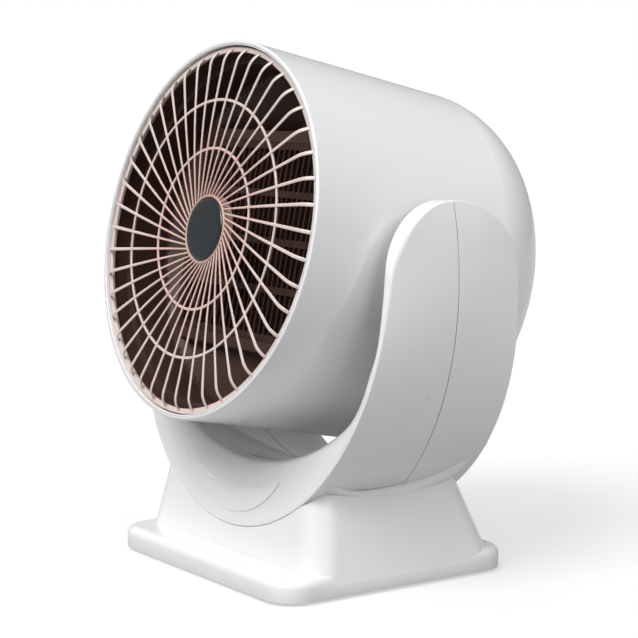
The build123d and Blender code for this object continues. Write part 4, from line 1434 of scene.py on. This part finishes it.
    def pedestal(self, skin: Skin) -> None:
        """Adds the pedestal's wall: up the outside to its top, over a soft edge and down the inside.

        Args:
            skin: takes the wall.
        """
        low, top, soft = self.pedestal_low, self.wall_top(), self.top_soft
        rings = [(low + share * (top - soft - low), 0.0) for share in eased(self.wall_steps)]
        turn = np.linspace(0.0, pi / 2, self.soft_steps)[1:]
        rings += [(top - soft + soft * sin(a), soft * (1 - cos(a))) for a in turn]
        x, y = self.pedestal_outline(top, self.wall)
        under = np.where(y < self.yoke.arm_round, self.yoke.under(x, y) - 2 * self.seat, top)
        inner_top = np.maximum(np.minimum(top - self.seat, under), low + self.inside_least)
        rings += [(z, self.wall) for z in (inner_top, low + 0 * inner_top)]
        loops = [layered(*self.pedestal_outline(z, inset), z) for z, inset in rings]
        skin.grid(np.stack(loops), rows_close=True)

    def lip(self, skin: Skin, side: float) -> None:
        """Adds the saddle's lip on one side, from the front corner to the horn at the back.

        At each depth a section runs from the wall's top L to the yoke U along the curve
        (1-t)(1-t) L + 2t(1-t) K + t t U, where K stands off their middle by twice the bulge.

        Args:
            skin: takes the lip.
            side: 1 for the right side, -1 for the left.
        """
        y = (self.lip_ends[0] + (self.lip_ends[1] - self.lip_ends[0]) * eased(self.lip_steps))[:, None]
        z_low = self.saddle_height(y)
        above = z_low - self.high
        half = self.pedestal_half - self.pedestal_slope * above
        corner = self.pedestal_corner
        back = self.pedestal_back - self.back_slope * above
        past = np.maximum(self.yoke.front(z_low) + corner - y, y - back + corner)
        past = np.clip(past, 0.0, self.corner_most * corner)
        x_low = half - corner + np.sqrt(corner**2 - past**2)
        walk = self.yoke.walk_at(self.lip_height(y), y)
        upper = self.yoke.outer(walk, y) + self.lip_cover * self.yoke.normal(walk)
        low = np.concatenate([x_low, z_low], axis=1)[:, None]
        high = np.concatenate([upper[..., 0], upper[..., 2]], axis=1)[:, None]
        run = high - low
        out = np.stack([run[..., 1], -run[..., 0]], axis=-1)
        out = out / np.linalg.norm(out, axis=-1, keepdims=True)
        starts = (self.lip_ends[0], self.horn_start)
        shares = [smooth_step((y[:, None] - y0) / run) for y0, run in zip(starts, self.bulge_runs)]
        bulge = self.bulges[0] + self.bulges[1] * shares[0] + self.bulges[2] * shares[1]
        t = np.linspace(0.0, 1.0, self.lip_columns)[None, :, None]
        middle = (low + high) / 2 + out * 2 * bulge
        face = (1 - t) ** 2 * low + 2 * t * (1 - t) * middle + t**2 * high
        inside = np.concatenate([high - out * self.lip_depths[0], low - out * self.lip_depths[1]], axis=1)
        section = np.concatenate([face, inside], axis=1)
        skin.grid(layered(side * section[..., 0], y, section[..., 1]), ends=True)

    def build(self, maker: Maker) -> None:
        """Makes the base's housing and finishes what shows on it.

        Args:
            maker: takes the pieces.
        """
        skin = Skin()
        self.plate(skin)
        self.pedestal(skin)
        for side in (1.0, -1.0):
            self.lip(skin, side)
        maker.surface("base_shell", skin, Body.STAND, "base_housing")
        for node in ("bottom_cover", "rubber_feet", "rocker_frame", "cord_gland"):
            maker.smoothed(node, Body.STAND)
        maker.smoothed("rocker_key", Body.KEY)


# Studio


def direction(azimuth: float, elevation: float) -> Vector:
    """Unit vector at an azimuth from the front, towards +X, and an elevation, both in degrees."""
    a, e = radians(azimuth), radians(elevation)
    return Vector((sin(a) * cos(e), -cos(a) * cos(e), sin(e)))


@dataclass(frozen=True)
class Sun:
    """A distant lamp: where it stands, its light on a face square to it and its disc's width in degrees."""

    name: str
    azimuth: float
    elevation: float
    strength: float
    spread: float
    shine: bool = False  # it makes highlights on gloss


@dataclass
class Studio:
    """Pale floor, soft lamps and the camera at the photograph's angle."""

    azimuth: float = 54.92
    elevation: float = 7.1
    roll: float = 0.17
    target: Triple = (7.11, -8.0, 111.41)
    distance: float = 903.56
    focal_pixels: float = 2000.0
    sensor: float = 36.0
    floor_reach: float = 40000.0
    floor_glow: float = 0.55
    floor_seen: float = 0.35
    floor_bounce: float = 0.22
    floor_roughness: float = 0.8
    gloss_level: float = 0.45
    lamp_distance: float = 2000.0
    suns: tuple = (
        Sun("key", 15.0, 45.0, 2.9, 35.0, shine=True),
        Sun("high", -20.0, 60.0, 0.45, 35.0),
        Sun("side", 90.0, 20.0, 0.75, 35.0),
        Sun("rear", 120.0, 30.0, 0.4, 35.0),
        Sun("left", -90.0, 32.0, 1.0, 40.0),
        Sun("top", 60.0, 80.0, 0.85, 60.0, shine=True),
    )

    def camera(self) -> None:
        """Places the camera on its sphere about the target, turned to face it, then rolled."""
        back = direction(self.azimuth, self.elevation)
        made = placed("camera", bpy.data.cameras.new("camera"))
        made.data.sensor_width = self.sensor
        made.data.lens = self.focal_pixels / PHOTO_SIDE * self.sensor
        made.location = (Vector(self.target) + back * self.distance) * MM
        turn = (-back).to_track_quat("-Z", "Y").to_matrix() @ Matrix.Rotation(radians(self.roll), 3, "Z")
        made.rotation_euler = turn.to_euler()
        bpy.context.scene.camera = made

    def world(self) -> None:
        """White where it is seen, less in gloss and no light on surfaces, which the lamps alone give."""
        world = bpy.data.worlds.new("studio")
        bpy.context.scene.world = world
        world.use_nodes = True
        background = world.node_tree.nodes["Background"]
        background.inputs["Color"].default_value = (1.0, 1.0, 1.0, 1.0)
        graph = Graph(world.node_tree)
        graph.feed(background.inputs["Strength"], graph.seen_straight(self.gloss_level))

    def floor(self) -> None:
        """A wide pale floor that takes the heater's shadow and gives back little light."""
        mesh = bpy.data.meshes.new("floor")
        reach = self.floor_reach * MM
        corners = [(-reach, -reach, 0.0), (reach, -reach, 0.0), (reach, reach, 0.0), (-reach, reach, 0.0)]
        mesh.from_pydata(corners, [], [(0, 1, 2, 3)])
        floor = placed("floor", mesh)
        dress = Dress("floor")
        seen = dress.seen_straight(self.gloss_level)
        dress.set(
            Base_Color=dress.mix(seen, (self.floor_bounce,) * 3, (self.floor_seen,) * 3),
            Roughness=self.floor_roughness,
            Emission_Color=dress.mix(seen, (0.0,) * 3, (self.floor_glow,) * 3),
            Emission_Strength=1.0,
        )
        mesh.materials.append(dress.material)

    def lamp(self, sun: Sun) -> None:
        """Places a distant soft lamp that faces the heater's middle.

        Args:
            sun: its direction and light.
        """
        data = bpy.data.lights.new(sun.name, "SUN")
        data.energy = sun.strength
        data.angle = radians(sun.spread)
        lamp = placed(sun.name, data)
        way = direction(sun.azimuth, sun.elevation)
        lamp.location = (Vector(self.target) + way * self.lamp_distance) * MM
        lamp.rotation_euler = (-way).to_track_quat("-Z", "Y").to_euler()
        lamp.visible_glossy = sun.shine

    def build(self) -> None:
        """Makes the whole studio."""
        self.camera()
        self.world()
        self.floor()
        for sun in self.suns:
            self.lamp(sun)


def main() -> None:
    """Builds the heater's pieces and the studio, and reports each step."""
    logging.basicConfig(level=logging.INFO, format="%(name)s: %(message)s")
    bpy.context.scene.view_settings.view_transform = "Standard"
    wardrobe = Wardrobe()
    wardrobe.dress_cad_nodes()
    maker = Maker(wardrobe)
    head = Head()
    head.build(maker)
    Grille(head).build(maker)
    yoke = Yoke()
    yoke.build(maker)
    Base(yoke).build(maker)
    Studio().build()


if __name__ == "__main__":
    main()
